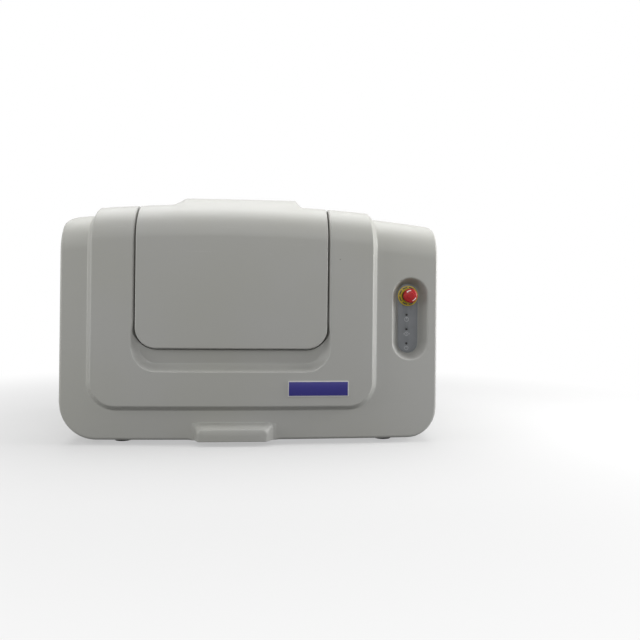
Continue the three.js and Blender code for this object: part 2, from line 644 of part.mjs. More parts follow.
// Mains inlet and its rocker switch share one moulded bezel
{
  const { x, z, width, height } = INLET;
  const back = HOUSING_BACK + CLEAR;
  const flange = box(x - width / 2 - 4, x + width / 2 + 4, back, back + 2.5, z - height / 2 - 4, z + height / 2 + 4);
  const body = box(x - width / 2 + 0.5, x + width / 2 - 0.5, back - 34, back + 1,
    z - height / 2 + 0.5, z + height / 2 - 0.5);
  const socket = box(x - 26, x - 2, back - 17, back + 4, z - 15, z + 15);
  const switchWell = box(x + 7, x + 24, back - 16, back + 4, z - 14, z + 14);
  const pins = [[-19, 0], [-9, -8], [-9, 8]].map(([dx, dz]) =>
    box(x + dx - 1.2, x + dx + 1.2, back - 18, back - 1, z + dz - 2.5, z + dz + 2.5));
  place('mains_inlet', join(cut(join(flange, body), socket, switchWell), ...pins), DARK);
  // Shallow V face on a pivot, resting at the end where it is switched off
  const rocker = prism('x', polygon([
    [-6, 0], [3, -12.5], [9.2, -12.5], [6, 0], [9.2, 12.5], [3, 12.5],
  ]), -8.5 + CLEAR, 8.5 - CLEAR);
  const mesh = place('power_rocker', rocker, DARK);
  mesh.position.set(x + 15.5, back + ROCKER_PIVOT, z);
  mesh.rotation.x = THREE.MathUtils.degToRad(-ROCKER_TILT);
}

// Barbed gas ports
PORT_XS.forEach((x, i) => {
  const back = HOUSING_BACK + CLEAR;
  const tip = DEPTH / 2;
  const long = tip - back;
  const barb = [[3, -14], [7.8, -14], [7.8, 0], [11, 0], [11, 4], [4, 4], [4, long - 4.2],
    [5.2, long - 4], [4.2, long], [3, long], [3, -14]];
  place(`gas_port_${i + 1}`, turned('back', barb, 12).translate(x, back, INLET.z), STEEL);
});

// Electronics on the pan inside the rear housing
place('power_supply', box(40, 240, HOUSING_FRONT + 12, HOUSING_BACK - 22, PAN.z + PAN.thick + CLEAR, 80), ALUMINIUM);

// ---------------------------------------------------------------- belt drives

// Toothed wheel about an axis, with a flange at each end
function pulley(axis, u, v, teeth, from, boreDiameter) {
  const radius = (teeth * TOOTH) / (2 * Math.PI);
  const root = radius - PULLEY.toothDepth;
  const shape = new THREE.Shape();
  for (let i = 0; i < teeth; i += 1) {
    [[-0.3, root], [-0.2, radius], [0.2, radius], [0.3, root]].forEach(([share, r], k) => {
      const angle = ((i + share) / teeth) * Math.PI * 2;
      const point = [u + r * Math.cos(angle), v + r * Math.sin(angle)];
      if (i === 0 && k === 0) shape.moveTo(...point);
      else shape.lineTo(...point);
    });
  }
  shape.closePath();
  const to = from + PULLEY.width;
  const wheel = prism(axis, shape, from, to);
  const sides = [[from - PULLEY.flange, from + 0.01], [to - 0.01, to + PULLEY.flange]].map(([a, b]) =>
    rod(axis, u, v, 2 * radius + 2 * PULLEY.rim + 2 * BELT.thick, a, b, FLANGE_ARC));
  const bore = rod(axis, u, v, boreDiameter, from - 20, to + 20);
  return cut(join(wheel, ...sides), bore);
}

const radiusOf = (teeth) => (teeth * TOOTH) / (2 * Math.PI);

// Belt round two wheels, the large one above the small one. `u` runs across, `v` is up.
function beltLoop(axis, u, largeV, smallV, from) {
  const band = (grow) => {
    const big = radiusOf(PULLEY.large) + BELT.gap + grow;
    const small = radiusOf(PULLEY.small) + BELT.gap + grow;
    const lean = Math.asin((big - small) / (largeV - smallV));
    const shape = new THREE.Shape();
    shape.absarc(u, largeV, big, -lean, Math.PI + lean, false);
    shape.absarc(u, smallV, small, Math.PI + lean, 2 * Math.PI - lean, false);
    shape.closePath();
    return shape;
  };
  const start = from + (PULLEY.width - BELT.width) / 2;
  return cut(prism(axis, band(BELT.thick), start, start + BELT.width, 8),
    prism(axis, band(0), start - 1, start + BELT.width + 1, 8));
}

// Gearmotor: `from` is its mounting face, and it reaches back along the axis by its length
function gearmotor(axis, u, v, from) {
  const gearbox = rod(axis, u, v, MOTOR.diameter, from - 38, from, 8);
  const can = rod(axis, u, v, MOTOR.diameter - 6, from - MOTOR.length, from - 37, 8);
  const boss = rod(axis, u, v, MOTOR.boss, from - 1, from + 3, 6);
  const bore = rod(axis, u, v, MOTOR.shaft + 2 * CLEAR, from - 20, from + 10, 8);
  return cut(join(gearbox, can, boss), bore);
}

// Small wheel with its shaft
function motorPulley(axis, u, v, from, motorFace) {
  const wheel = pulley(axis, u, v, PULLEY.small, from, MOTOR.shaft - 1);
  const shaft = rod(axis, u, v, MOTOR.shaft, motorFace - 18, from + PULLEY.width + 2, 8);
  return join(wheel, shaft);
}

// ---------------------------------------------------------------- pillars and pitch drive

const ringHalf = RING.length / 2;
const pillarInner = ringHalf + PILLAR.gap;
const PITCH_MOTOR_Z = PIVOT_Z - PITCH_DRIVE;

function pillar(side) {
  const top = new THREE.Shape();
  const base = PAN.z + PAN.thick + CLEAR;
  const half = PILLAR.footWidth / 2;
  const head = PILLAR.headRadius;
  const lean = Math.asin((half - head) / (PIVOT_Z - base)) * 0.9;
  top.moveTo(PIVOT_Y - half, base);
  top.lineTo(PIVOT_Y + half, base);
  top.absarc(PIVOT_Y, PIVOT_Z, head, lean, Math.PI - lean, false);
  top.closePath();
  const inner = DOOR_X + side * pillarInner;
  const ends = [inner, inner + side * PILLAR.thick].sort((a, b) => a - b);
  const foot = [inner, inner - side * PILLAR.footDepth].sort((a, b) => a - b);
  const web = prism('x', top, ...ends);
  const sole = box(...[foot[0], foot[1]], PIVOT_Y - half, PIVOT_Y + half, base, base + 8);
  const seat = rod('x', PIVOT_Y, PIVOT_Z, BEARING.outer + 2 * CLEAR, ends[0] - 1, ends[1] + 1, 8);
  const windows = [130, 190].map((z) => rod('x', PIVOT_Y, z, 44, ends[0] - 1, ends[1] + 1, 6));
  if (side < 0) return cut(join(web, sole), seat, ...windows);
  const boss = rod('x', PIVOT_Y, PITCH_MOTOR_Z, MOTOR.boss + 2 * CLEAR, ends[0] - 1, ends[1] + 1, 6);
  return cut(join(web, sole), seat, windows[1], boss);
}

place('pillar_left', pillar(-1), ALUMINIUM);
place('pillar_right', pillar(1), ALUMINIUM);

// Bearing ring round a trunnion along an axis
const bearing = (axis, u, v, from) => cut(
  rod(axis, u, v, BEARING.outer, from, from + BEARING.width, 8),
  rod(axis, u, v, TRUNNION + 2 * CLEAR, from - 1, from + BEARING.width + 1, 8));

const leftFace = DOOR_X - pillarInner - PILLAR.thick;
const rightFace = DOOR_X + pillarInner;
place('pitch_bearing_left', bearing('x', PIVOT_Y, PIVOT_Z, leftFace), STEEL);
place('pitch_bearing_right', bearing('x', PIVOT_Y, PIVOT_Z, rightFace), STEEL);

const pitchWheelX = rightFace + PILLAR.thick + 6;
place('pitch_motor', gearmotor('x', PIVOT_Y, PITCH_MOTOR_Z, rightFace - CLEAR), DARK);
place('pitch_motor_pulley', motorPulley('x', PIVOT_Y, PITCH_MOTOR_Z, pitchWheelX, rightFace), STEEL);
place('pitch_belt', beltLoop('x', PIVOT_Y, PIVOT_Z, PITCH_MOTOR_Z, pitchWheelX), RUBBER);
place('pitch_pulley', pulley('x', PIVOT_Y, PIVOT_Z, PULLEY.large, pitchWheelX, TRUNNION + 2 * CLEAR), ALUMINIUM);

// ---------------------------------------------------------------- gimbal ring

const ringFront = PIVOT_Y - RING.depth / 2;
const ringBack = PIVOT_Y + RING.depth / 2;
const seatBore = BEARING.outer + 2 * CLEAR;
const ringBottom = PIVOT_Z - RING.tube / 2;
{
  const t = RING.tube;
  const outer = prism('z', roundedRect(DOOR_X - ringHalf, DOOR_X + ringHalf, ringFront, ringBack, 30),
    ringBottom, ringBottom + t, 3);
  const inner = prism('z', roundedRect(DOOR_X - ringHalf + t, DOOR_X + ringHalf - t, ringFront + t, ringBack - t, 8),
    ringBottom - 1, ringBottom + t + 1, 3);
  const bosses = [ringFront, ringBack - t].map((y) => rod('y', DOOR_X, PIVOT_Z, BEARING.outer + 14, y, y + t, 8));
  const seats = [ringFront, ringBack - t].map((y) => rod('y', DOOR_X, PIVOT_Z, seatBore, y - 1, y + t + 1, 8));
  const sockets = [[-1, DOOR_X - ringHalf], [1, DOOR_X + ringHalf]].map(([side, x]) =>
    rod('x', PIVOT_Y, PIVOT_Z, TRUNNION + 2 * CLEAR, ...[x - side * (t - 8), x + side].sort((a, b) => a - b), 8));
  place('gimbal_ring', cut(join(cut(outer, inner), ...bosses), ...seats, ...sockets), ALUMINIUM);
}
const socketDepth = RING.tube - 8 - CLEAR;
place('pitch_trunnion_left', rod('x', PIVOT_Y, PIVOT_Z, TRUNNION,
  leftFace - 3, DOOR_X - ringHalf + socketDepth, 8), STEEL);
place('pitch_trunnion_right', rod('x', PIVOT_Y, PIVOT_Z, TRUNNION,
  DOOR_X + ringHalf - socketDepth, pitchWheelX + PULLEY.width + 5, 8), STEEL);

const bearingInset = (RING.tube - BEARING.width) / 2;
place('roll_bearing_front', bearing('y', DOOR_X, PIVOT_Z, ringFront + bearingInset), STEEL);
place('roll_bearing_rear', bearing('y', DOOR_X, PIVOT_Z, ringBack - RING.tube + bearingInset), STEEL);

// Roll drive hangs from the ring's rear bar
const ROLL_MOTOR_Z = PIVOT_Z - ROLL_DRIVE;
const bracketFront = ringBack + CLEAR;
const bracketBack = bracketFront + 6;
const rollWheelY = bracketBack + 6;
{
  const plate = prism('y', roundedRect(DOOR_X - 36, DOOR_X + 36, ROLL_MOTOR_Z - 32, PIVOT_Z + 24, 6),
    bracketFront, bracketBack, 4);
  const holes = [[PIVOT_Z, TRUNNION + 6], [ROLL_MOTOR_Z, MOTOR.boss + 2 * CLEAR]].map(([z, d]) =>
    rod('y', DOOR_X, z, d, bracketFront - 1, bracketBack + 1));
  place('roll_drive_bracket', cut(plate, ...holes), ZINC);
}
place('roll_motor', gearmotor('y', DOOR_X, ROLL_MOTOR_Z, bracketFront - CLEAR), DARK);
place('roll_motor_pulley', motorPulley('y', DOOR_X, ROLL_MOTOR_Z, rollWheelY, bracketFront), STEEL);
place('roll_belt', beltLoop('y', DOOR_X, PIVOT_Z, ROLL_MOTOR_Z, rollWheelY), RUBBER);
place('roll_pulley', pulley('y', DOOR_X, PIVOT_Z, PULLEY.large, rollWheelY, TRUNNION + 2 * CLEAR), ALUMINIUM);

// ---------------------------------------------------------------- tray, bag and what holds it

const tray = {
  left: DOOR_X - TRAY.length / 2, right: DOOR_X + TRAY.length / 2,
  front: PIVOT_Y - TRAY.depth / 2, back: PIVOT_Y + TRAY.depth / 2,
  bottom: PIVOT_Z - TRAY.below, top: PIVOT_Z + TRAY.above,
};
{
  const { left, right, front, back, bottom, top } = tray;
  const outer = prism('z', roundedRect(left, right, front, back, TRAY.corner), bottom, top, 3);
  const w = TRAY.wall;
  const inner = prism('z', roundedRect(left + w, right - w, front + w, back - w, TRAY.corner - w),
    bottom + TRAY.floor, top + 1, 3);
  const bosses = [[front - 8, front + 8], [back - 8, back + 8]].map(([a, b]) =>
    rod('y', DOOR_X, PIVOT_Z, TRUNNION + 16, a, b, 8));
  const ribs = [-190, -95, 95, 190].map((dx) =>
    box(DOOR_X + dx - 2, DOOR_X + dx + 2, front + 20, back - 20, bottom - 8, bottom + 0.5));
  const sockets = [[front - 9, front + 5], [back - 5, back + 9]].map(([a, b]) =>
    rod('y', DOOR_X, PIVOT_Z, TRUNNION + 2 * CLEAR, a, b, 8));
  place('tray', cut(join(cut(outer, inner), ...bosses, ...ribs), ...sockets), ALUMINIUM);
}
place('roll_trunnion_front', rod('y', DOOR_X, PIVOT_Z, TRUNNION, ringFront - 1, tray.front + 5 - CLEAR, 8), STEEL);
place('roll_trunnion_rear', rod('y', DOOR_X, PIVOT_Z, TRUNNION,
  tray.back - 5 + CLEAR, rollWheelY + PULLEY.width + 5, 8), STEEL);

const matBottom = tray.bottom + TRAY.floor + CLEAR;
const matTop = matBottom + 2.5;
place('heater_mat', box(tray.left + 22, tray.right - 22, tray.front + 14, tray.back - 14, matBottom, matTop), SILICONE);

// Filled bag: flat below, domed above, with thin welded edges
function pillow(length, depth, thick) {
  const geometry = new THREE.BoxGeometry(length, depth, thick, 12, 8, 1);
  const position = geometry.attributes.position;
  for (let i = 0; i < position.count; i += 1) {
    const u = Math.abs(position.getX(i)) / (length / 2);
    const v = Math.abs(position.getY(i)) / (depth / 2);
    const swell = Math.sqrt(Math.max(0, 1 - u ** 5)) * Math.sqrt(Math.max(0, 1 - v ** 4));
    const height = thick * (0.06 + 0.94 * swell);
    const level = (position.getZ(i) + thick / 2) / thick;
    position.setZ(i, level * height);
  }
  return geometry;
}
const bagBottom = matTop + CLEAR;
const bag = place('culture_bag', solid(pillow(BAG.length, BAG.depth, BAG.thick)), BAG_FILM);
bag.position.set(DOOR_X, PIVOT_Y, bagBottom);

// Clamp bars press the bag's welded ends
[-1, 1].forEach((side, i) => {
  const x = DOOR_X + side * (BAG.length / 2 + 12);
  const top = matTop + 12;
  const bar = box(x - 5, x + 5, tray.front + 24, tray.back - 24, matTop + CLEAR, top);
  place(`bag_clamp_${i === 0 ? 'left' : 'right'}`, bar, ALUMINIUM);
});

// Vent filter standing on the bag
{
  const z = bagBottom + BAG.thick + CLEAR;
  const profile = [[0, 0], [22, 0], [22, 2.5], [7, 3.5], [7, 12], [19, 17], [19, 24], [7, 29], [4, 30], [4, 40], [0, 40]];
  place('vent_filter', turned('up', profile, 12).translate(DOOR_X, PIVOT_Y, z), WHITE);
}

export default machine;
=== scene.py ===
# %% [markdown]
# # A bench bioreactor of the rocking kind
# A soft bag of culture lies in a tray that rocks in two directions, under a moulded hood with a
# lift-up door. The working parts arrive ready made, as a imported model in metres. This lesson
# gives them their finishes and builds the smooth pieces that a faceted model can't show: the
# moulded skins, the bag, the belts, the stop button and the small fittings.

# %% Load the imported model
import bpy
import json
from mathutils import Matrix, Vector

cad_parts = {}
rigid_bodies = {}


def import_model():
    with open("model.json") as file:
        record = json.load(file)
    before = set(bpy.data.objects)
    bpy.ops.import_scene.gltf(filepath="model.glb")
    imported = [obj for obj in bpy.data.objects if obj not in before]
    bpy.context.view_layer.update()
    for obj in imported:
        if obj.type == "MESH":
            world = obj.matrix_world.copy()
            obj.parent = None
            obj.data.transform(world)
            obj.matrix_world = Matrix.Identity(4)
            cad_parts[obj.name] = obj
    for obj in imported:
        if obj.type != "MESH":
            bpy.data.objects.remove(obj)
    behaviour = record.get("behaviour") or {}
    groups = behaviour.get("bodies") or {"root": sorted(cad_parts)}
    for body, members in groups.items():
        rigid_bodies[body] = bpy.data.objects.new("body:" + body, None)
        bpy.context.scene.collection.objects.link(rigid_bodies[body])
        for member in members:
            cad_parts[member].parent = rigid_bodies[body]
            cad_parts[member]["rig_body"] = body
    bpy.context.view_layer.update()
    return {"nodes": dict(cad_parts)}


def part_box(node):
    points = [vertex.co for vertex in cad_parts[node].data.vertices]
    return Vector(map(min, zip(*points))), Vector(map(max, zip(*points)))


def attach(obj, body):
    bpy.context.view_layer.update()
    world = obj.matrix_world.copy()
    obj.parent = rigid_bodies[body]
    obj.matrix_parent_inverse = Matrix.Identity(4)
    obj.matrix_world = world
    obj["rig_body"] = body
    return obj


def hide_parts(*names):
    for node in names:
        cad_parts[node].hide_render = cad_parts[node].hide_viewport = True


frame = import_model()

import json
import math

import bmesh
import bpy
import numpy as np
from mathutils import Matrix, Vector
from mathutils.geometry import delaunay_2d_cdt
from mathutils.kdtree import KDTree

# %% [markdown]
# ## Camera
# The product stands to the left of the view, seen almost square on from a little over half its
# own height away times three. The lens is shifted down a little, as a view camera's is, so that
# upright edges stay upright and the camera needs no tilt.

# %% Camera
def camera_matrix(place, yaw, pitch, roll):
    """Camera that looks along +Y before it is turned."""
    turn = Matrix.Rotation(math.radians(yaw), 4, "Z")
    tilt = Matrix.Rotation(math.radians(90 + pitch), 4, "X")
    lean = Matrix.Rotation(math.radians(roll), 4, "Z")
    return Matrix.Translation(place) @ turn @ tilt @ lean


lens_data = bpy.data.cameras.new("view")
lens_data.sensor_width = 36
lens_data.lens = 36.56
lens_data.shift_y = -0.03125
camera = bpy.data.objects.new("view", lens_data)
bpy.context.scene.collection.objects.link(camera)
camera.matrix_world = camera_matrix((0.025, -2.109, 0.388), -5.07, 0.17, 0.62)
bpy.context.scene.camera = camera
print("camera at", [round(v, 3) for v in camera.location], "lens", lens_data.lens)

# %% [markdown]
# ## Sizes of the moulding
# The hood is moulded in layers. An outer layer turns from the front over into the top through a
# large round, and a raised layer stands forward of it behind a slanted step. All the skins are
# one rule: a place is found by how far it is across, `x`, and how far up the front and back over
# the top, `s`. A rule like that lets every detail be drawn flat and then wrapped on.

# %% Sizes of the moulding, in metres
OUTER = dict(front=-0.343, top=0.643, crown_x=-0.025)
RAISED = dict(front=-0.359, top=0.659, crown_x=-0.050)
LEFT, RIGHT, FOOT = -0.514, 0.514, 0.013
CROWN_RADIUS, BOW_RADIUS, ROUND = 4.4, 6.5, 0.100
HOOD_BACK, HOUSING_FRONT, HOUSING_BACK = 0.248, 0.250, 0.356
WALL = 0.004
DOOR_X = -0.055

S_TRUE = 0.46                          # below this, s is the real height
S_ROUND = 0.55                         # where the front starts to turn into the top
S_TOP = S_ROUND + ROUND * math.pi / 2  # where the top begins
S_END = S_TOP + 0.490                  # the parting line


def plain_skin(layer, x, s):
    """Place on a layer's skin, for arrays x and s."""
    front = layer["front"] + x ** 2 / (2 * BOW_RADIUS)
    crown = layer["top"] - (x - layer["crown_x"]) ** 2 / (2 * CROWN_RADIUS)
    low = crown - ROUND
    stretch = (low - S_TRUE) / (S_ROUND - S_TRUE)
    height = np.minimum(s, S_TRUE) + (np.clip(s, S_TRUE, S_ROUND) - S_TRUE) * stretch
    angle = np.clip((s - S_ROUND) / ROUND, 0, math.pi / 2)
    along = np.clip((s - S_TOP) / (S_END - S_TOP), 0, 1)
    y = front + ROUND * (1 - np.cos(angle)) + along * (HOOD_BACK - front - ROUND)
    y = y + np.maximum(s - S_END, 0)
    return np.stack([x, y, height + ROUND * np.sin(angle)], axis=-1)


print("developed height of the skin", round(S_END, 3), "m")

# %% [markdown]
# ## Rules for the details
# Each detail is a height above or below the plain skin. A distance to its outline goes in, and an
# eased ramp comes out, whose two ends are rounded as a moulded edge is.

# %% Eased ramp and distance to an outline
def ease(u, end=0.25):
    """Ramp from 0 to 1 with a rounded start and finish, each `end` long."""
    u = np.clip(u, 0, 1)
    scale = 2 * end * (1 - end)
    middle = (u - end / 2) / (1 - end)
    return np.where(u < end, u ** 2 / scale, np.where(u > 1 - end, 1 - (1 - u) ** 2 / scale, middle))


def inside(x, s, left, right, foot, corner):
    """Distance inside an outline that is open at the top and has two round lower corners."""
    across = np.abs(x - (left + right) / 2) - ((right - left) / 2 - corner)
    under = foot + corner - s
    outer = np.hypot(np.maximum(across, 0), np.maximum(under, 0))
    return corner - outer - np.minimum(np.maximum(across, under), 0)


def soft_min(a, b, soft):
    mix = np.clip(0.5 + 0.5 * (b - a) / soft, 0, 1)
    return b * (1 - mix) + a * mix - soft * mix * (1 - mix)


RAISED_LINE = dict(left=-0.442, right=0.342, foot=0.091, corner=0.080)
STEP_RUN, STEP_RUN_TOP = 0.017, 0.025
DOORWAY = dict(left=DOOR_X - 0.2605, right=DOOR_X + 0.2605, foot=0.256, corner=0.060)
TROUGH_LINE = dict(left=DOOR_X - 0.268, right=DOOR_X + 0.268, foot=0.1965, corner=0.068)
TROUGH_RUN, TROUGH_DEEP, TROUGH_SHALLOW = 0.0225, 0.024, 0.016


def over_round(s):
    """0 on the front, 1 on the top."""
    return ease((s - S_ROUND) / (S_TOP - S_ROUND))


def raised_share(x, s):
    run = STEP_RUN + (STEP_RUN_TOP - STEP_RUN) * over_round(s)
    return ease(inside(x, s, **RAISED_LINE) / run, 0.28)


def dished(u, lip=0.12):
    """Ramp from 0 to 1 that falls steeply behind a rounded lip and meets the floor in a crease."""
    u = np.clip(u, 0, 1)
    u = np.where(u < lip, u ** 2 / (2 * lip), u - lip / 2) / (1 - lip / 2)
    return u * (1.55 - 0.55 * u)


def trough_depth(x, s):
    floor = TROUGH_DEEP - (TROUGH_DEEP - TROUGH_SHALLOW) * np.clip((s - 0.220) / 0.042, 0, 1)
    fade = 1 - ease((s - 0.285) / 0.050)
    return floor * fade * dished(inside(x, s, **TROUGH_LINE) / TROUGH_RUN)


print("step", STEP_RUN, "trough", TROUGH_DEEP)

# %% [markdown]
# The stop button sits in a recess shaped like a racetrack that narrows as it deepens, and the
# hood is lifted by a lip that swells from its lower edge.

# %% Recess and pull lip
RECESS_X, RECESS_Z, RECESS_DEEP = 0.436, 0.344, 0.036
RECESS_RADIUS = (0.0495, 0.029)        # at the face and at the floor
RECESS_REACH = (0.064, 0.0685)         # half of the straight part
LIP_FACE = dict(left=-0.142, right=0.040, top=0.046)
LIP_ROOT = dict(left=-0.156, right=0.0625, top=0.063)
LIP_CHAMFER, LIP_STAND, LIP_SINK = 0.008, 0.033, 0.006
LIP_FRONT = -0.370


def recess_share(x, s):
    """0 at the recess's rim, 1 at its floor, beyond both outside them."""
    share = np.zeros_like(x)
    for _ in range(5):
        reach = RECESS_REACH[0] + (RECESS_REACH[1] - RECESS_REACH[0]) * np.clip(share, 0, 1)
        up = np.maximum(np.abs(s - RECESS_Z) - reach, 0)
        distance = np.hypot(x - RECESS_X, up)
        share = (RECESS_RADIUS[0] - distance) / (RECESS_RADIUS[0] - RECESS_RADIUS[1])
    return share


def recess_depth(x, s):
    near = (np.abs(x - RECESS_X) < 0.08) & (np.abs(s - RECESS_Z) < 0.15)
    flat_floor = RECESS_DEEP + (RECESS_X ** 2 - x ** 2) / (2 * BOW_RADIUS)
    return np.where(near, flat_floor * ease((recess_share(x, s) + 0.16) / 1.22, 0.24), 0)


def lip_height(x, s):
    face, root = LIP_FACE, LIP_ROOT
    half = math.sqrt(0.5)
    left = (x - root["left"]) / (face["left"] - root["left"])
    right = (root["right"] - x) / (root["right"] - face["right"])
    top = (root["top"] - s) / (root["top"] - face["top"])
    corner_in = [(face["top"] - LIP_CHAMFER - side) * half for side in (face["left"], -face["right"])]
    corner_out = [(root["top"] - LIP_CHAMFER - side) * half for side in (root["left"], -root["right"])]
    chamfers = [(out - (s - way * x) * half) / (out - inn)
                for way, inn, out in zip((1, -1), corner_in, corner_out)]
    rise = np.full_like(x, 1.0)
    for share in (left, right, top, *chamfers):
        rise = soft_min(rise, share, 0.22)
    height = LIP_STAND * rise - LIP_SINK
    cap = -LIP_FRONT + OUTER["front"] + x ** 2 / (2 * BOW_RADIUS)
    return -soft_min(-soft_min(height, cap, 0.004), np.zeros_like(x), 0.003)


print("recess", RECESS_X, RECESS_Z, "lip front", LIP_FRONT)

# %% [markdown]
# Adding these rules gives the whole skin, and small differences of it give its true direction at
# every point. The skins carry those directions, so their shading is smooth wherever the
# triangles fall.

# %% The whole skin
def hood_skin(x, s):
    x, s = np.asarray(x, float), np.asarray(s, float)
    share = raised_share(x, s)[..., None]
    place = plain_skin(OUTER, x, s) * (1 - share) + plain_skin(RAISED, x, s) * share
    rise = lip_height(x, s) - trough_depth(x, s) - recess_depth(x, s)
    angle = np.clip((s - S_ROUND) / ROUND, 0, math.pi / 2)
    out = np.stack([0 * x, -np.cos(angle), np.sin(angle)], axis=-1)
    return place + out * rise[..., None]


def facing(skin, x, s, small=2e-4):
    """Unit directions out of a skin."""
    x, s = np.asarray(x, float), np.asarray(s, float)
    across = skin(x + small, s) - skin(x - small, s)
    up = skin(x, s + small) - skin(x, s - small)
    out = np.cross(across, up)
    return out / np.linalg.norm(out, axis=-1, keepdims=True)


print("front centre", np.round(hood_skin(-0.05, 0.15), 4), facing(hood_skin, -0.05, 0.15).round(3))

# %% [markdown]
# ## From a flat drawing to a moulded wall
# A smooth skin with raised and sunk details could be modelled by hand with subdivision, but every
# edge would need its own supporting loops. Here the outline and every edge of a detail are drawn
# flat, a Delaunay triangulation joins them, and the rule above wraps the triangles into place.

# %% Triangles between drawn lines
def within_loop(points, loop):
    """True for each flat point inside a closed loop."""
    x, s = points[:, :1], points[:, 1:2]
    ax, ay = loop[:, 0], loop[:, 1]
    bx, by = np.roll(ax, -1), np.roll(ay, -1)
    at = ax + (s - ay) * (bx - ax) / np.where(by == ay, 1, by - ay)
    return (((ay > s) != (by > s)) & (x < at)).sum(axis=1) % 2 == 1


def near_tree(points):
    tree = KDTree(len(points))
    for i, p in enumerate(points):
        tree.insert((p[0], p[1], 0), i)
    tree.balance()
    return tree


def drawn_triangles(loop, holes=(), lines=(), filler=()):
    """Flat points and triangles inside a loop. Filler rows are x, s and their spacing."""
    paths = [(path, True) for path in (loop, *holes)] + [(path, False) for path in lines]
    fixed = np.concatenate([path for path, _ in paths])
    edges, start = [], 0
    for path, closed in paths:
        count = len(path)
        edges += [(start + i, start + (i + 1) % count) for i in range(count if closed else count - 1)]
        start += count
    points = list(fixed)
    if len(filler):
        tree = near_tree(fixed)
        inner = within_loop(filler, loop)
        for hole in holes:
            inner &= ~within_loop(filler, hole)
        points += [p[:2] for p in filler[inner] if tree.find((p[0], p[1], 0))[2] > 0.6 * p[2]]
    flat, _, faces, *_ = delaunay_2d_cdt([Vector(p) for p in points], edges, [], 0, 1e-7)
    flat, faces = np.array([tuple(p) for p in flat]), np.array([tuple(f) for f in faces])
    middle = flat[faces].mean(axis=1)
    keep = within_loop(middle, loop)
    for hole in holes:
        keep &= ~within_loop(middle, hole)
    return flat, faces[keep]


def filler_grid(x0, x1, s0, s1, gap_x, gap_s):
    """Rows of points, every other one shifted by half a space."""
    rows = np.arange(s0, s1, gap_s)
    xs = np.arange(x0, x1, gap_x)
    grid = [(x + gap_x / 2 * (i % 2), s, min(gap_x, gap_s)) for i, s in enumerate(rows) for x in xs]
    return np.array(grid)


def trimmed(line, loops, clear=0.0012):
    """The runs of a line that stay outside closed loops and clear of their edges."""
    keep = np.ones(len(line), bool)
    for loop in loops:
        tree = near_tree(loop)
        keep &= ~within_loop(line, loop)
        keep &= np.array([tree.find((p[0], p[1], 0))[2] > clear for p in line])
    cuts = np.flatnonzero(np.diff(keep.astype(int))) + 1
    return [run for run, ok in zip(np.split(line, cuts), np.split(keep, cuts)) if ok[0] and len(run) > 1]


print("a square needs", len(drawn_triangles(np.array([(0, 0), (1, 0), (1, 1), (0, 1)], float))[1]), "triangles")

# %% [markdown]
# A moulded wall has the same thickness everywhere, so each point on the outside keeps a partner
# behind it. Open edges are closed by a rim between the two.

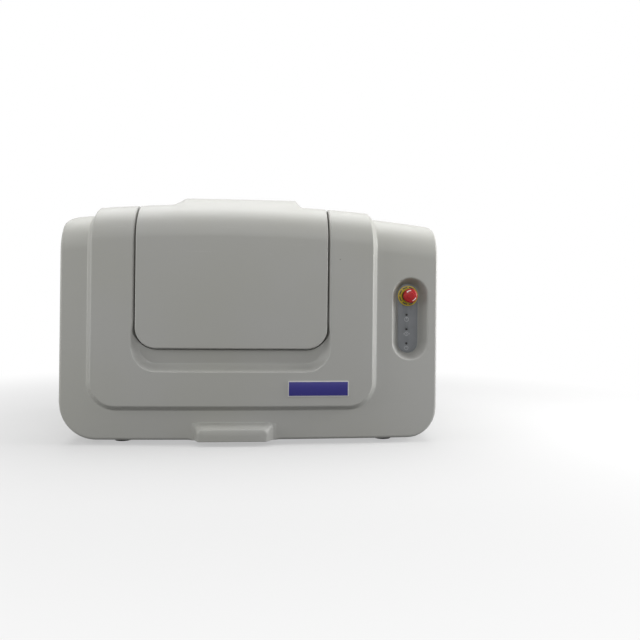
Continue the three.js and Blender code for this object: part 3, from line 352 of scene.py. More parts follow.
# %% Moulded wall
class MouldedWall:
    """Faces of a moulding's outside. Each point has its direction and a partner behind it."""

    def __init__(self, wall):
        self.wall, self.parts, self.faces, self.count = wall, [], [], 0

    def add(self, points, normals, faces, backs=None):
        points, normals = np.reshape(points, (-1, 3)), np.reshape(normals, (-1, 3))
        backs = points - self.wall * normals if backs is None else np.reshape(backs, (-1, 3))
        self.parts.append(np.hstack([points, normals, backs]))
        self.faces += [tuple(self.count + i for i in face) for face in faces]
        self.count += len(points)

    def strip(self, points, normals, backs=None, closed=False, flip=False):
        """A grid of rows by columns."""
        rows, columns = points.shape[:2]
        faces = []
        for r in range(rows - 1):
            for k in range(columns if closed else columns - 1):
                j = (k + 1) % columns
                face = (r * columns + k, (r + 1) * columns + k, (r + 1) * columns + j, r * columns + j)
                faces.append(face[::-1] if flip else face)
        self.add(points, normals, faces, backs)

    def sheet(self, skin, flat, faces):
        self.add(skin(flat[:, 0], flat[:, 1]), facing(skin, flat[:, 0], flat[:, 1]), faces)

    def fill(self, points, normal):
        """A flat wall inside a closed line of points."""
        points = np.asarray(points)
        axes = [a for a in range(3) if a != int(np.argmax(np.abs(normal)))]
        flat = [Vector(p) for p in points[:, axes]]
        count = len(flat)
        edges = [(i, (i + 1) % count) for i in range(count)]
        _, _, faces, origins, *_ = delaunay_2d_cdt(flat, edges, [], 0, 1e-7)
        faces = [[origins[i][0] for i in face] for face in faces]
        middle = np.array([points[face][:, axes].mean(axis=0) for face in faces])
        keep = within_loop(middle, points[:, axes])
        out = []
        for face in (face for face, ok in zip(faces, keep) if ok):
            a, b, c = points[face]
            out.append(face if np.dot(np.cross(b - a, c - a), normal) > 0 else face[::-1])
        self.add(points, np.tile(normal, (count, 1)), out)

    def mesh(self, name):
        data = np.vstack(self.parts)
        tree = KDTree(len(data))
        for i, p in enumerate(data[:, :3]):
            tree.insert(p, i)
        tree.balance()
        same = [min(i for _, i, _ in tree.find_range(p, 2e-5)) for p in data[:, :3]]
        faces = [[same[i] for i in face] for face in self.faces]
        faces = [[v for k, v in enumerate(f) if v != f[k - 1]] for f in faces]
        faces = [f for f in faces if len(set(f)) == len(f) > 2]
        directed = {(a, b) for f in faces for a, b in zip(f, f[1:] + f[:1])}
        rims = [(b, a) for a, b in directed if (b, a) not in directed]
        used = sorted({v for f in faces for v in f})
        at = {v: i for i, v in enumerate(used)}
        n = len(used)
        data = data[used]
        outer = [[at[v] for v in f] for f in faces]
        inner = [[at[v] + n for v in reversed(f)] for f in faces]
        rim = [[at[a], at[b], at[b] + n, at[a] + n] for a, b in rims]
        places = np.vstack([data[:, :3], data[:, 6:]])
        made = bpy.data.meshes.new(name)
        made.from_pydata(places.tolist(), [], outer + inner + rim)
        ways = data[:, 3:6] / np.linalg.norm(data[:, 3:6], axis=1, keepdims=True)
        loops = [ways[v] for f in outer for v in f] + [-ways[v - n] for f in inner for v in f]
        for a, b, c, d in rim:
            out = np.cross(places[c] - places[a], places[d] - places[b])
            loops += [out / (np.linalg.norm(out) + 1e-12)] * 4
        made.polygons.foreach_set("use_smooth", [True] * len(made.polygons))
        made.normals_split_custom_set(np.array(loops).tolist())
        piece = bpy.data.objects.new(name, made)
        bpy.context.scene.collection.objects.link(piece)
        print(name, len(made.polygons), "faces,", len(rims), "rim edges")
        return piece


def rounded_rows(points, normals, outward, radius, wall, steps=6):
    """Rows that turn an edge from one direction to another, with their partners behind."""
    radius = np.broadcast_to(radius, len(points))[:, None]
    centre = points - radius * normals
    spread = np.arccos(np.clip((normals * outward).sum(axis=1), -1, 1))[:, None]
    thin = np.maximum(radius - wall, 3e-4)
    rows, ways, backs = [], [], []
    for k in range(steps + 1):
        t = k / steps
        way = (np.sin((1 - t) * spread) * normals + np.sin(t * spread) * outward) / np.sin(spread)
        rows.append(centre + radius * way)
        ways.append(way)
        backs.append(centre + thin * way - np.maximum(wall + 3e-4 - radius, 0) * normals)
    return np.array(rows), np.array(ways), np.array(backs)


def carried_on(rows, ways, backs, moves, way=None):
    """More rows, each the last one moved. A move is an array or a vector."""
    last, last_way, last_back = rows[-1], ways[-1] if way is None else way, backs[-1]
    more = [last + move for move in moves]
    return (np.concatenate([rows, more]), np.concatenate([ways, [last_way] * len(moves)]),
            np.concatenate([backs, [last_back + move for move in moves]]))


print("tools for moulded walls ready")

# %% [markdown]
# ## The hood
# The real hood is one thick moulding with rounded edges all round. Its skin is drawn flat: lines
# run along the step, the trough, the recess and the lip, so triangles never cut across an edge.

# %% Lines along the details
def arc_points(x, s, radius, start, end, count):
    angle = np.radians(np.linspace(start, end, count))
    return np.stack([x + radius * np.cos(angle), s + radius * np.sin(angle)], axis=1)


def step_line(share):
    """Line along the step, from its foot at 0 to its crest at 1."""
    left, right, foot, corner = (RAISED_LINE[k] for k in ("left", "right", "foot", "corner"))
    inset = share * STEP_RUN
    rise = np.linspace(S_END, foot + corner, 96)
    run = share * (STEP_RUN + (STEP_RUN_TOP - STEP_RUN) * over_round(rise))
    flat = np.linspace(left + corner, right - corner, 40)[1:-1]
    return np.concatenate([
        np.stack([left + run, rise], axis=1),
        arc_points(left + corner, foot + corner, corner - inset, 180, 270, 22)[1:],
        np.stack([flat, 0 * flat + foot + inset], axis=1),
        arc_points(right - corner, foot + corner, corner - inset, 270, 360, 22)[:-1],
        np.stack([right - run, rise], axis=1)[::-1],
    ])


def trough_line(share):
    left, right, foot, corner = (TROUGH_LINE[k] for k in ("left", "right", "foot", "corner"))
    inset = share * TROUGH_RUN
    flat = np.linspace(left + corner, right - corner, 36)[1:-1]
    rise = np.linspace(0.36, foot + corner, 16)
    return np.concatenate([
        np.stack([0 * rise + left + inset, rise], axis=1),
        arc_points(left + corner, foot + corner, corner - inset, 180, 270, 18)[1:],
        np.stack([flat, 0 * flat + foot + inset], axis=1),
        arc_points(right - corner, foot + corner, corner - inset, 270, 360, 18)[:-1],
        np.stack([0 * rise + right - inset, rise], axis=1)[::-1],
    ])


def racetrack(radius, reach, count=22):
    """Closed upright outline with straight sides, about the recess."""
    return np.concatenate([arc_points(RECESS_X, RECESS_Z + reach, radius, 0, 180, count),
                           arc_points(RECESS_X, RECESS_Z - reach, radius, 180, 360, count)])


def recess_line(share):
    radius = RECESS_RADIUS[0] + share * (RECESS_RADIUS[1] - RECESS_RADIUS[0])
    reach = RECESS_REACH[0] + min(max(share, 0), 1) * (RECESS_REACH[1] - RECESS_REACH[0])
    line = racetrack(radius, reach)
    return np.concatenate([line, line[:1]])


def lip_line(share):
    """Three sides of the lip, from its root at 0 to its crest at 1."""
    corners = []
    for box, chamfer in ((LIP_ROOT, LIP_CHAMFER), (LIP_FACE, LIP_CHAMFER)):
        left, right, top = box["left"], box["right"], box["top"]
        corners.append(np.array([(left, 0.0145), (left, top - chamfer), (left + chamfer, top),
                                 (right - chamfer, top), (right, top - chamfer), (right, 0.0145)]))
    corners = corners[0] + share * (corners[1] - corners[0])
    line = []
    for a, b in zip(corners[:-1], corners[1:]):
        count = max(2, int(np.hypot(*(b - a)) / 0.004))
        line += [a + (b - a) * k / count for k in range(count)]
    return np.array(line + [corners[-1]])


print(len(step_line(0)), "points along the step")

# %% The hood's outline
EDGE_ROUND = 0.008
TOP_EDGE = dict(left=0.036, right=0.020)
FOOT_ROUND = dict(left=0.100, right=0.082)


def foot_round(x):
    """Radius under the front, small across the pull lip."""
    beside = np.maximum(LIP_ROOT["left"] - x, x - LIP_ROOT["right"])
    return 0.002 + (EDGE_ROUND - 0.002) * ease((beside - 0.001) / 0.014)


def near_top(s):
    """0 up to the middle of the great round, 1 on the top."""
    half = (S_TOP - S_ROUND) / 2
    return ease((s - S_ROUND - half) / half)


def hood_edge():
    """The sheet's outer edge, down the left, along the bottom and up the right."""
    upper = np.concatenate([np.linspace(S_END, S_TOP, 26)[:-1], np.linspace(S_TOP, S_ROUND, 25)])
    flat, out, radius, kind = [], [], [], []
    for side, bound, way in (("left", LEFT, -1), ("right", RIGHT, 1)):
        rise = np.concatenate([upper, np.linspace(S_ROUND, FOOT + FOOT_ROUND[side], 24)[1:]])
        turn = EDGE_ROUND + (TOP_EDGE[side] - EDGE_ROUND) * near_top(rise)
        x = bound - way * turn
        lean = facing(hood_skin, x, rise)[:, 0]
        x = bound - way * turn * (1 - way * lean)
        sides = np.stack([x, rise], axis=1)
        outward = np.tile((way, 0.0, 0.0), (len(rise), 1))
        corner = FOOT_ROUND[side]
        start, end = (180, 270) if way < 0 else (360, 270)
        arc = arc_points(bound - way * corner, FOOT + corner, corner - EDGE_ROUND, start, end, 22)[1:]
        angle = np.radians(np.linspace(start, end, 22))[1:]
        radial = np.stack([np.cos(angle), 0 * angle, np.sin(angle)], axis=1)
        flat.append(np.concatenate([sides, arc]))
        out.append(np.concatenate([outward, radial]))
        radius.append(np.concatenate([turn, np.full(21, EDGE_ROUND)]))
        kind.append(np.concatenate([np.zeros(len(sides)), np.ones(21)]))
    x = np.concatenate([
        np.linspace(LEFT + FOOT_ROUND["left"], LIP_ROOT["left"] - 0.018, 14)[1:],
        np.linspace(LIP_ROOT["left"] - 0.015, LIP_ROOT["left"], 9),
        np.linspace(LIP_ROOT["left"], LIP_ROOT["right"], 56)[1:-1],
        np.linspace(LIP_ROOT["right"], LIP_ROOT["right"] + 0.015, 9),
        np.linspace(LIP_ROOT["right"] + 0.018, RIGHT - FOOT_ROUND["right"], 14)[:-1]])
    turn = foot_round(x)
    bottom = np.stack([x, FOOT + turn], axis=1)
    down = np.tile((0.0, 0.0, -1.0), (len(x), 1))
    flat = np.concatenate([flat[0], bottom, flat[1][::-1]])
    out = np.concatenate([out[0], down, out[1][::-1]])
    radius = np.concatenate([radius[0], turn, radius[1][::-1]])
    kind = np.concatenate([kind[0], np.full(len(x), 2), kind[1][::-1]])
    return flat, out, radius, kind


edge, edge_out, edge_radius, edge_kind = hood_edge()
print(len(edge), "points round the hood's edge")

# %% [markdown]
# The doorway's edge is rounded too. It turns in, runs back to a ledge that holds the seal, and
# ends there. The lower part starts deeper, in the trough, so it turns in a smaller round.

# %% The doorway's outline
def skin_s(y, x):
    """How far up the raised skin lies, where it passes over the top at y."""
    front = RAISED["front"] + x ** 2 / (2 * BOW_RADIUS) + ROUND
    return S_TOP + (S_END - S_TOP) * (y - front) / (HOOD_BACK - front)


DOORWAY_BACK, BACK_CORNER = -0.066, 0.012


def door_loop(grow):
    """Closed loop round the doorway, grown by so much at each point, with its inward directions."""
    left, right, foot, corner = (DOORWAY[k] for k in ("left", "right", "foot", "corner"))
    back = float(skin_s(DOORWAY_BACK, right))
    rise = np.concatenate([np.linspace(foot + corner, S_ROUND, 22), np.linspace(S_ROUND, S_TOP, 25)[1:],
                           np.linspace(S_TOP, back - BACK_CORNER, 18)[1:]])
    flat = np.linspace(left + corner, right - corner, 44)[1:-1]
    across = np.linspace(right - BACK_CORNER, left + BACK_CORNER, 52)
    points = np.concatenate([
        arc_points(left + corner, foot + corner, corner, 180, 270, 20),
        np.stack([flat, 0 * flat + foot], axis=1),
        arc_points(right - corner, foot + corner, corner, 270, 360, 20),
        np.stack([0 * rise + right, rise], axis=1)[1:],
        arc_points(right - BACK_CORNER, back - BACK_CORNER, BACK_CORNER, 0, 90, 9)[1:-1],
        np.stack([across, skin_s(DOORWAY_BACK, across)], axis=1),
        arc_points(left + BACK_CORNER, back - BACK_CORNER, BACK_CORNER, 90, 180, 9)[1:-1],
        np.stack([0 * rise + left, rise], axis=1)[:0:-1],
    ])
    along = np.roll(points, -1, axis=0) - np.roll(points, 1, axis=0)
    inward = np.stack([-along[:, 1], along[:, 0]], axis=1)
    inward /= np.linalg.norm(inward, axis=1, keepdims=True)
    return points - inward * np.reshape(grow, (-1, 1)), points, inward


def raised_plain(x, s):
    return plain_skin(RAISED, np.asarray(x, float), np.asarray(s, float))


def in_skin(inward, x, s):
    """Directions across and up a plain skin, mixed by a flat direction."""
    small = 5e-4
    across = raised_plain(x + small, s) - raised_plain(x - small, s)
    up = raised_plain(x, s + small) - raised_plain(x, s - small)
    way = inward[:, :1] * across + inward[:, 1:] * up
    return way / np.linalg.norm(way, axis=1, keepdims=True)


_, doorway, doorway_in = door_loop(0)
deep = trough_depth(doorway[:, 0], doorway[:, 1]) / 0.018
doorway_round = 0.007 - 0.005 * np.clip(deep, 0, 1)
doorway_hole, *_ = door_loop(doorway_round)
window_hole = racetrack(0.023, RECESS_REACH[1])
print(len(doorway), "points round the doorway")

# %% The hood's front sheet
hood_wall = MouldedWall(WALL)
loops = [doorway_hole, window_hole]
lines = [step_line(t) for t in (-0.06, 0.03, 0.11, 0.2, 0.29, 0.4, 0.5, 0.6, 0.71, 0.8, 0.89, 0.97, 1.06)]
for t in (-0.04, 0.01, 0.05, 0.09, 0.14, 0.25, 0.45, 0.65, 0.82, 0.93, 0.985, 1.015, 1.07):
    lines += trimmed(trough_line(t), [doorway_hole])
crease = np.linspace(TROUGH_LINE["left"] + 0.05, TROUGH_LINE["right"] - 0.05, 40)
lines += trimmed(np.stack([crease, 0 * crease + 0.2215], axis=1), [doorway_hole])
lines += [recess_line(t) for t in (-0.2, -0.12, -0.04, 0.04, 0.13, 0.25, 0.4, 0.55, 0.7, 0.82, 0.9, 0.98, 1.07)]
for t in (-0.14, -0.05, 0.05, 0.14, 0.24, 0.4, 0.6, 0.76, 0.86, 0.95, 1.05, 1.14):
    lines += [lip_line(t)[1:-1]]
fill_front = filler_grid(LEFT, RIGHT, FOOT + 0.014, S_ROUND, 0.014, 0.014)
fill_round = filler_grid(LEFT, RIGHT, S_ROUND, S_TOP + 0.004, 0.016, 0.0065)
fill_top = filler_grid(LEFT, RIGHT, S_TOP + 0.01, S_END, 0.022, 0.02)
seam = np.linspace(edge[-1, 0], edge[0, 0], 50)[1:-1]
outline = np.concatenate([edge, np.stack([seam, 0 * seam + S_END], axis=1)])
flat, triangles = drawn_triangles(outline, loops, lines, np.concatenate([fill_front, fill_round, fill_top]))
hood_wall.sheet(hood_skin, flat, triangles)
print(len(triangles), "triangles in the hood's sheet")

# %% [markdown]
# Outside that sheet, the edge turns back through its round, and flat side walls run to the rear.

# %% The hood's sides and underside
points = hood_skin(edge[:, 0], edge[:, 1])
ways = facing(hood_skin, edge[:, 0], edge[:, 1])
rows, way_rows, backs = rounded_rows(points, ways, edge_out, edge_radius, WALL)
hood_wall.strip(rows, way_rows, backs)

UNDER_BACK = -0.319                    # the front's lower edge runs back to here
corner_stops = np.linspace(-0.300, HOOD_BACK, 16)
first = int(np.argmax(edge_kind > 0)) - 1
last = len(edge) - 1 - (int(np.argmax(edge_kind[::-1] > 0)) - 1)
under = np.flatnonzero(edge_kind == 2)
corner_spans = [slice(first, under[0]), slice(under[-1] + 1, last + 1)]
span = slice(under[0] - 1, under[-1] + 2)
short = np.maximum(UNDER_BACK - rows[-1][:, 1], 5e-4)
short[(edge[:, 0] > LIP_ROOT["left"] - 0.001) & (edge[:, 0] < LIP_ROOT["right"] + 0.001)
      & (edge_kind == 2)] = 5e-4
beside = np.maximum(LIP_ROOT["left"] - edge[:, 0], edge[:, 0] - LIP_ROOT["right"])
short = np.where((edge_kind == 2) & (beside < 0.015), 5e-4 + short * ease(beside / 0.015), short)
back_way = np.array((0, 1.0, 0))
moved = short[:, None] * back_way
under_rows = carried_on(rows[-1:, span], way_rows[-1:, span], backs[-1:, span], [moved[span]])
hood_wall.strip(*under_rows)
for span in corner_spans:
    start = rows[-1, span]
    moves = [moved[span]] + [(y - start[:, 1])[:, None] * back_way for y in corner_stops]
    hood_wall.strip(*carried_on(rows[-1:, span], way_rows[-1:, span], backs[-1:, span], moves))
for way, fillet_ends, corner in ((-1, slice(0, first + 1), first), (1, slice(last, len(edge)), last)):
    line = rows[-1, fillet_ends]
    start = rows[-1, corner]
    low = np.array([start + moved[corner]] + [start + (y - start[1]) * back_way for y in corner_stops])
    top = line[0] if way < 0 else line[-1]
    drop = low[-1] + np.linspace(0, 1, 12)[1:-1, None] * (top - low[-1])
    outline = np.concatenate([line, low, drop] if way < 0 else [line[::-1], low, drop])
    hood_wall.fill(outline, (way, 0, 0))
print("underside columns", len(under), "corner columns", [s.stop - s.start for s in corner_spans])

# %% The doorway's ledge
LEDGE_DEEP, LEDGE_WIDE, LEDGE_ROUND = 0.022, 0.012, 0.0015


def ledge_rows(flat, inward):
    """Rows from a deep round corner out along the ledge."""
    plain = raised_plain(flat[:, 0], flat[:, 1])
    out = facing(raised_plain, flat[:, 0], flat[:, 1])
    across = in_skin(inward, flat[:, 0], flat[:, 1])
    across -= (across * out).sum(axis=1, keepdims=True) * out
    across /= np.linalg.norm(across, axis=1, keepdims=True)
    rows, ways = [], []
    for t in np.linspace(0, math.pi / 2, 4):
        rows.append(plain + LEDGE_ROUND * (1 - math.cos(t)) * across
                    - (LEDGE_DEEP - LEDGE_ROUND + LEDGE_ROUND * math.sin(t)) * out)
        ways.append(math.cos(t) * across + math.sin(t) * out)
    rows.append(plain + LEDGE_WIDE * across - LEDGE_DEEP * out)
    ways.append(out)
    return np.array(rows), np.array(ways), across


points = hood_skin(doorway_hole[:, 0], doorway_hole[:, 1])
ways = facing(hood_skin, doorway_hole[:, 0], doorway_hole[:, 1])
ledge, ledge_ways, inward = ledge_rows(doorway, doorway_in)
rows, way_rows, backs = rounded_rows(points, ways, inward, doorway_round, WALL)
rows, way_rows = np.concatenate([rows, ledge]), np.concatenate([way_rows, ledge_ways])
backs = np.concatenate([backs, ledge - WALL * ledge_ways])
hood_wall.strip(rows, way_rows, backs, closed=True, flip=True)
hood_shell = hood_wall.mesh("hood_moulding")

# %% [markdown]
# The lip is hollow, so that fingers reach up behind it. The hood's flat front carries on behind,
# and two lugs inside it rest on the rubber bumpers of the base.

# %% Lip backing, lugs and hinge pads
def sharp_shaded(piece, degrees=35):
    """Smooth shading, with real edges where two faces meet at more than this angle."""
    piece.data.polygons.foreach_set("use_smooth", [True] * len(piece.data.polygons))
    piece.data.set_sharp_from_angle(angle=math.radians(degrees))
    return piece


def kept(name, builder):
    """A piece from a bmesh."""
    made = bpy.data.meshes.new(name)
    builder.to_mesh(made)
    builder.free()
    piece = bpy.data.objects.new(name, made)
    bpy.context.scene.collection.objects.link(piece)
    return piece


def bevelled_block(name, low, high, bevel, segments=3):
    """A block with rounded edges between two corners."""
    builder = bmesh.new()
    bmesh.ops.create_cube(builder, size=1)
    size, middle = Vector(high) - Vector(low), (Vector(high) + Vector(low)) / 2
    for v in builder.verts:
        v.co = Vector(a * b for a, b in zip(v.co, size)) + middle
    bmesh.ops.bevel(builder, geom=builder.edges[:], offset=bevel, segments=segments, profile=0.5,
                    affect="EDGES", clamp_overlap=True)
    return sharp_shaded(kept(name, builder))


def joined(name, pieces):
    """One piece from several, all of them in place."""
    with bpy.context.temp_override(active_object=pieces[0], object=pieces[0],
                                   selected_editable_objects=pieces, selected_objects=pieces):
        bpy.ops.object.join()
    pieces[0].name = name
    return pieces[0]


PAN_FRONT, PAN_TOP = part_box("base_pan")[0].y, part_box("base_pan")[0].z + 0.003
hinge_pads = []
for side, (y0, y1) in (("hood", (0.192, HOOD_BACK)), ("housing", (HOUSING_FRONT, 0.305))):
    for x in (DOOR_X - 0.250, DOOR_X + 0.250):
        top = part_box("hood_hinge_leaf_left")[0].z - 0.0003
        hinge_pads.append(bevelled_block(side + "_pad", (x - 0.034, y0, 0.651), (x + 0.034, y1, top), 0.003))
lip_slab = bevelled_block("lip_backing", (LIP_ROOT["left"] - 0.004, -0.343, FOOT),
                          (LIP_ROOT["right"] + 0.004, -0.339, 0.058), 0.0008, 2)
lugs = []
for bumper in ("hood_bumper_left", "hood_bumper_right"):
    low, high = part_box(bumper)
    face = OUTER["front"] + ((low.x + high.x) / 2) ** 2 / (2 * BOW_RADIUS)
    lugs.append(bevelled_block("lug", ((low.x + high.x) / 2 - 0.02, face + 0.002, high.z + 0.0003),
                               ((low.x + high.x) / 2 + 0.02, high.y, high.z + 0.0195), 0.002))
hood_piece = joined("hood_shell", [hood_shell, lip_slab, *lugs, *hinge_pads[:2]])
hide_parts("hood")
print(len(hood_piece.data.polygons), "faces in the hood")

# %% [markdown]
# ## The door
# The door follows the raised skin, 4 mm inside its doorway, and swells into a hump that hides its
# hinge barrel. Its edge turns in tightly, which is what gives it a thin bright outline.

# %% The door
HUMP = dict(foot_left=-0.230, left=-0.1875, right=0.1145, foot_right=0.136)
HUMP_TOP = 0.6807
HUMP_START, HUMP_FULL = S_ROUND + 0.092, S_TOP + 0.045


def hump_share(x, s):
    left = ease((x - HUMP["foot_left"]) / (HUMP["left"] - HUMP["foot_left"]), 0.3)
    right = ease((HUMP["foot_right"] - x) / (HUMP["foot_right"] - HUMP["right"]), 0.3)
    return left * right * ease((s - HUMP_START) / (HUMP_FULL - HUMP_START), 0.45)


def door_skin(x, s):
    x, s = np.asarray(x, float), np.asarray(s, float)
    place = plain_skin(RAISED, x, s)
    crown = RAISED["top"] - (x - RAISED["crown_x"]) ** 2 / (2 * CROWN_RADIUS)
    angle = np.clip((s - S_ROUND) / ROUND, 0, math.pi / 2)
    out = np.stack([0 * x, -np.cos(angle), np.sin(angle)], axis=-1)
    return place + out * (hump_share(x, s) * (HUMP_TOP - crown))[..., None]


DOOR_GAP, DOOR_ROUND, DOOR_SKIN, DOOR_DEEP = 0.004, 0.0034, 0.0032, 0.018
door_wall = MouldedWall(DOOR_SKIN)
door_edge, *_ = door_loop(-DOOR_GAP)
door_sheet_edge, *_ = door_loop(-DOOR_GAP - DOOR_ROUND)
outward = -in_skin(doorway_in, door_edge[:, 0], door_edge[:, 1])
lines = []
hump_lines = [HUMP["foot_left"] + t * (HUMP["left"] - HUMP["foot_left"]) for t in np.linspace(-0.1, 1.1, 9)]
hump_lines += [HUMP["right"] + t * (HUMP["foot_right"] - HUMP["right"]) for t in np.linspace(-0.1, 1.1, 9)]
for x in hump_lines:
    rise = np.linspace(HUMP_START, float(skin_s(DOORWAY_BACK, x)) - 0.012, 48)
    lines.append(np.stack([0 * rise + x, rise], axis=1))
fill_front = filler_grid(-0.32, 0.21, 0.25, S_ROUND, 0.016, 0.016)
fill_round = filler_grid(-0.32, 0.21, S_ROUND, S_TOP + 0.05, 0.014, 0.0062)
fill_top = filler_grid(-0.32, 0.21, S_TOP + 0.056, S_END, 0.018, 0.018)
flat, triangles = drawn_triangles(door_sheet_edge, (), lines, np.concatenate([fill_front, fill_round, fill_top]))
door_wall.sheet(door_skin, flat, triangles)
points = door_skin(door_sheet_edge[:, 0], door_sheet_edge[:, 1])
ways = facing(door_skin, door_sheet_edge[:, 0], door_sheet_edge[:, 1])
rows, way_rows, backs = rounded_rows(points, ways, outward, DOOR_ROUND, DOOR_SKIN, 5)
foot = raised_plain(door_edge[:, 0], door_edge[:, 1])
foot = foot - DOOR_DEEP * facing(raised_plain, door_edge[:, 0], door_edge[:, 1])
rows, way_rows, backs = carried_on(rows, way_rows, backs, [0.5 * (foot - rows[-1]), foot - rows[-1]], outward)
door_wall.strip(rows, way_rows, backs, closed=True)
door_shell = door_wall.mesh("door_moulding")

# %% Hinge barrel of the door
def turned_about(name, axis, centre, profile, steps=48):
    """A closed solid of revolution. The profile gives radius and distance along the axis."""
    across = [np.roll((1.0, 0, 0), (axis + k) % 3) for k in (1, 2)]
    along = np.roll((1.0, 0, 0), axis)
    angle = np.linspace(0, 2 * math.pi, steps, endpoint=False)
    ring = np.cos(angle)[:, None] * across[0] + np.sin(angle)[:, None] * across[1]
    builder = bmesh.new()
    rings = []
    for radius, at in profile:
        if radius < 1e-6:
            rings.append([builder.verts.new(np.add(centre, at * along))] * steps)
        else:
            rings.append([builder.verts.new(np.add(centre, at * along + radius * r)) for r in ring])
    open_ends = profile[0][0] < 1e-6
    pairs = zip(rings[:-1], rings[1:]) if open_ends else zip(rings, rings[1:] + rings[:1])
    for a, b in pairs:
        for k in range(steps):
            j = (k + 1) % steps
            corners = dict.fromkeys((a[k], a[j], b[j], b[k]))
            if len(corners) > 2:
                builder.faces.new(corners)
    bmesh.ops.recalc_face_normals(builder, faces=builder.faces)
    return sharp_shaded(kept(name, builder))


BARREL_Y, BARREL_Z = -0.070, 0.672
ends = HUMP["foot_left"] - 0.005, HUMP["foot_right"] + 0.005
barrel = turned_about("barrel", 0, (0, BARREL_Y, BARREL_Z), [
    (0.0043, ends[0] + 0.0005), (0.0048, ends[0]), (0.0082, ends[0]), (0.009, ends[0] + 0.0008),
    (0.009, ends[1] - 0.0008), (0.0082, ends[1]), (0.0048, ends[1]), (0.0043, ends[1] - 0.0005)])
door_piece = joined("lift_up_door", [door_shell, barrel])
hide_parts("door")
print(len(door_piece.data.polygons), "faces in the door")

# %% [markdown]
# A soft bulb seal runs round behind the door's edge. It is one section carried round the doorway.

# %% Door seal
def section_round(name, centres, across, out, section, closed=True):
    """A section carried along a path. Its corners are given across and outward."""
    count, corners = len(centres), len(section)
    grid = np.array([centres + a * across + b * out for a, b in section])
    data = grid.transpose(1, 0, 2).reshape(-1, 3)
    faces = [(i * corners + k, i * corners + (k + 1) % corners, (i + 1) % count * corners + (k + 1) % corners,
              (i + 1) % count * corners + k)
             for i in range(count if closed else count - 1) for k in range(corners)]
    if not closed:
        faces += [tuple(range(corners))[::-1], tuple((count - 1) * corners + k for k in range(corners))]
    made = bpy.data.meshes.new(name)
    made.from_pydata(data.tolist(), [], faces)
    piece = bpy.data.objects.new(name, made)
    bpy.context.scene.collection.objects.link(piece)
    builder = bmesh.new()
    builder.from_mesh(made)
    bmesh.ops.recalc_face_normals(builder, faces=builder.faces)
    builder.to_mesh(made)
    builder.free()
    return sharp_shaded(piece, 50)


seal_line = doorway
seal_out = facing(raised_plain, seal_line[:, 0], seal_line[:, 1])
seal_in = in_skin(doorway_in, seal_line[:, 0], seal_line[:, 1])
seal_middle = raised_plain(seal_line[:, 0], seal_line[:, 1]) + 0.0075 * seal_in - 0.0202 * seal_out
bulb = [(0.0032 * math.cos(a), 0.0014 * math.sin(a)) for a in np.linspace(0, 2 * math.pi, 10, endpoint=False)]
seal = section_round("door_bulb_seal", seal_middle, seal_in, seal_out, bulb)
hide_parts("door_seal")
print("seal", len(seal.data.polygons), "faces")

# %% [markdown]
# ## The rear housing
# Behind the parting line the same outline runs on to a back plate, which has cooling slots and
# holes for the gas ports and the mains inlet. One section is carried back and turned in.

# %% The rear housing
housing_wall = MouldedWall(WALL)
top_x = np.linspace(edge[0, 0], edge[-1, 0], 260)
top_s = np.full_like(top_x, S_END)
top_place, top_way = hood_skin(top_x, top_s), facing(hood_skin, top_x, top_s)
sides = []
for way, k in ((-1, 0), (1, -1)):
    outward = np.array([(way, 0.0, 0.0)])
    rows, ways_, _ = rounded_rows(top_place[k:k + 1] if k == 0 else top_place[-1:],
                                  top_way[k:k + 1] if k == 0 else top_way[-1:],
                                  outward, TOP_EDGE["left" if way < 0 else "right"], WALL, 10)
    corner = FOOT_ROUND["left" if way < 0 else "right"]
    bound = LEFT if way < 0 else RIGHT
    rise = np.linspace(rows[-1, 0, 2], FOOT + corner, 18)[1:]
    angle = np.radians(np.linspace(180, 270, 20) if way < 0 else np.linspace(360, 270, 20))[1:]
    arc = np.stack([bound - way * corner + corner * np.cos(angle), 0 * angle, FOOT + corner + corner * np.sin(angle)], axis=1)
    places = np.concatenate([rows[1:, 0], np.stack([0 * rise + bound, 0 * rise, rise], axis=1), arc])
    ways_out = np.concatenate([ways_[1:, 0], np.tile(outward, (len(rise), 1)),
                               np.stack([np.cos(angle), 0 * angle, np.sin(angle)], axis=1)])
    sides.append((places, ways_out))
arch = np.concatenate([sides[0][0][::-1], top_place, sides[1][0]])
arch_way = np.concatenate([sides[0][1][::-1], top_way, sides[1][1]])
arch_way[:, 1] = 0
arch_way /= np.linalg.norm(arch_way, axis=1, keepdims=True)
BACK_ROUND = 0.010
floor_x = np.linspace(arch[-1, 0], arch[0, 0], 40)[1:-1]
ring = np.concatenate([arch, np.stack([floor_x, 0 * floor_x, 0 * floor_x + FOOT], axis=1)])
ring_way = np.concatenate([arch_way, np.tile((0, 0, -1.0), (len(floor_x), 1))])


def at_y(line, y):
    return np.stack([line[:, 0], np.full(len(line), y), line[:, 2]], axis=1)


rows = np.array([at_y(arch, y) for y in (HOUSING_FRONT, 0.28, 0.31, HOUSING_BACK - BACK_ROUND)])
housing_wall.strip(rows, np.array([arch_way] * 4), flip=True)
start = at_y(ring, HOUSING_BACK - BACK_ROUND)
rows, way_rows, backs = rounded_rows(start, ring_way, np.tile((0, 1.0, 0), (len(ring), 1)), BACK_ROUND, WALL, 6)
housing_wall.strip(rows, way_rows, backs, closed=True, flip=True)
rim = rows[-1][:, [0, 2]]
VENTS = [0.130 + 0.028 * k for k in range(8)]
vent_loops = [np.concatenate([arc_points(x, 0.4705, 0.0045, 0, 180, 9), arc_points(x, 0.3695, 0.0045, 180, 360, 9)])
              for x in VENTS]
port_loops = [arc_points((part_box(n)[0].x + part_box(n)[1].x) / 2, 0.110, 0.0085, 0, 345, 24)
              for n in ("gas_port_1", "gas_port_2")]
inlet_loop = np.array([(-0.329, 0.086), (-0.271, 0.086), (-0.271, 0.134), (-0.329, 0.134)])
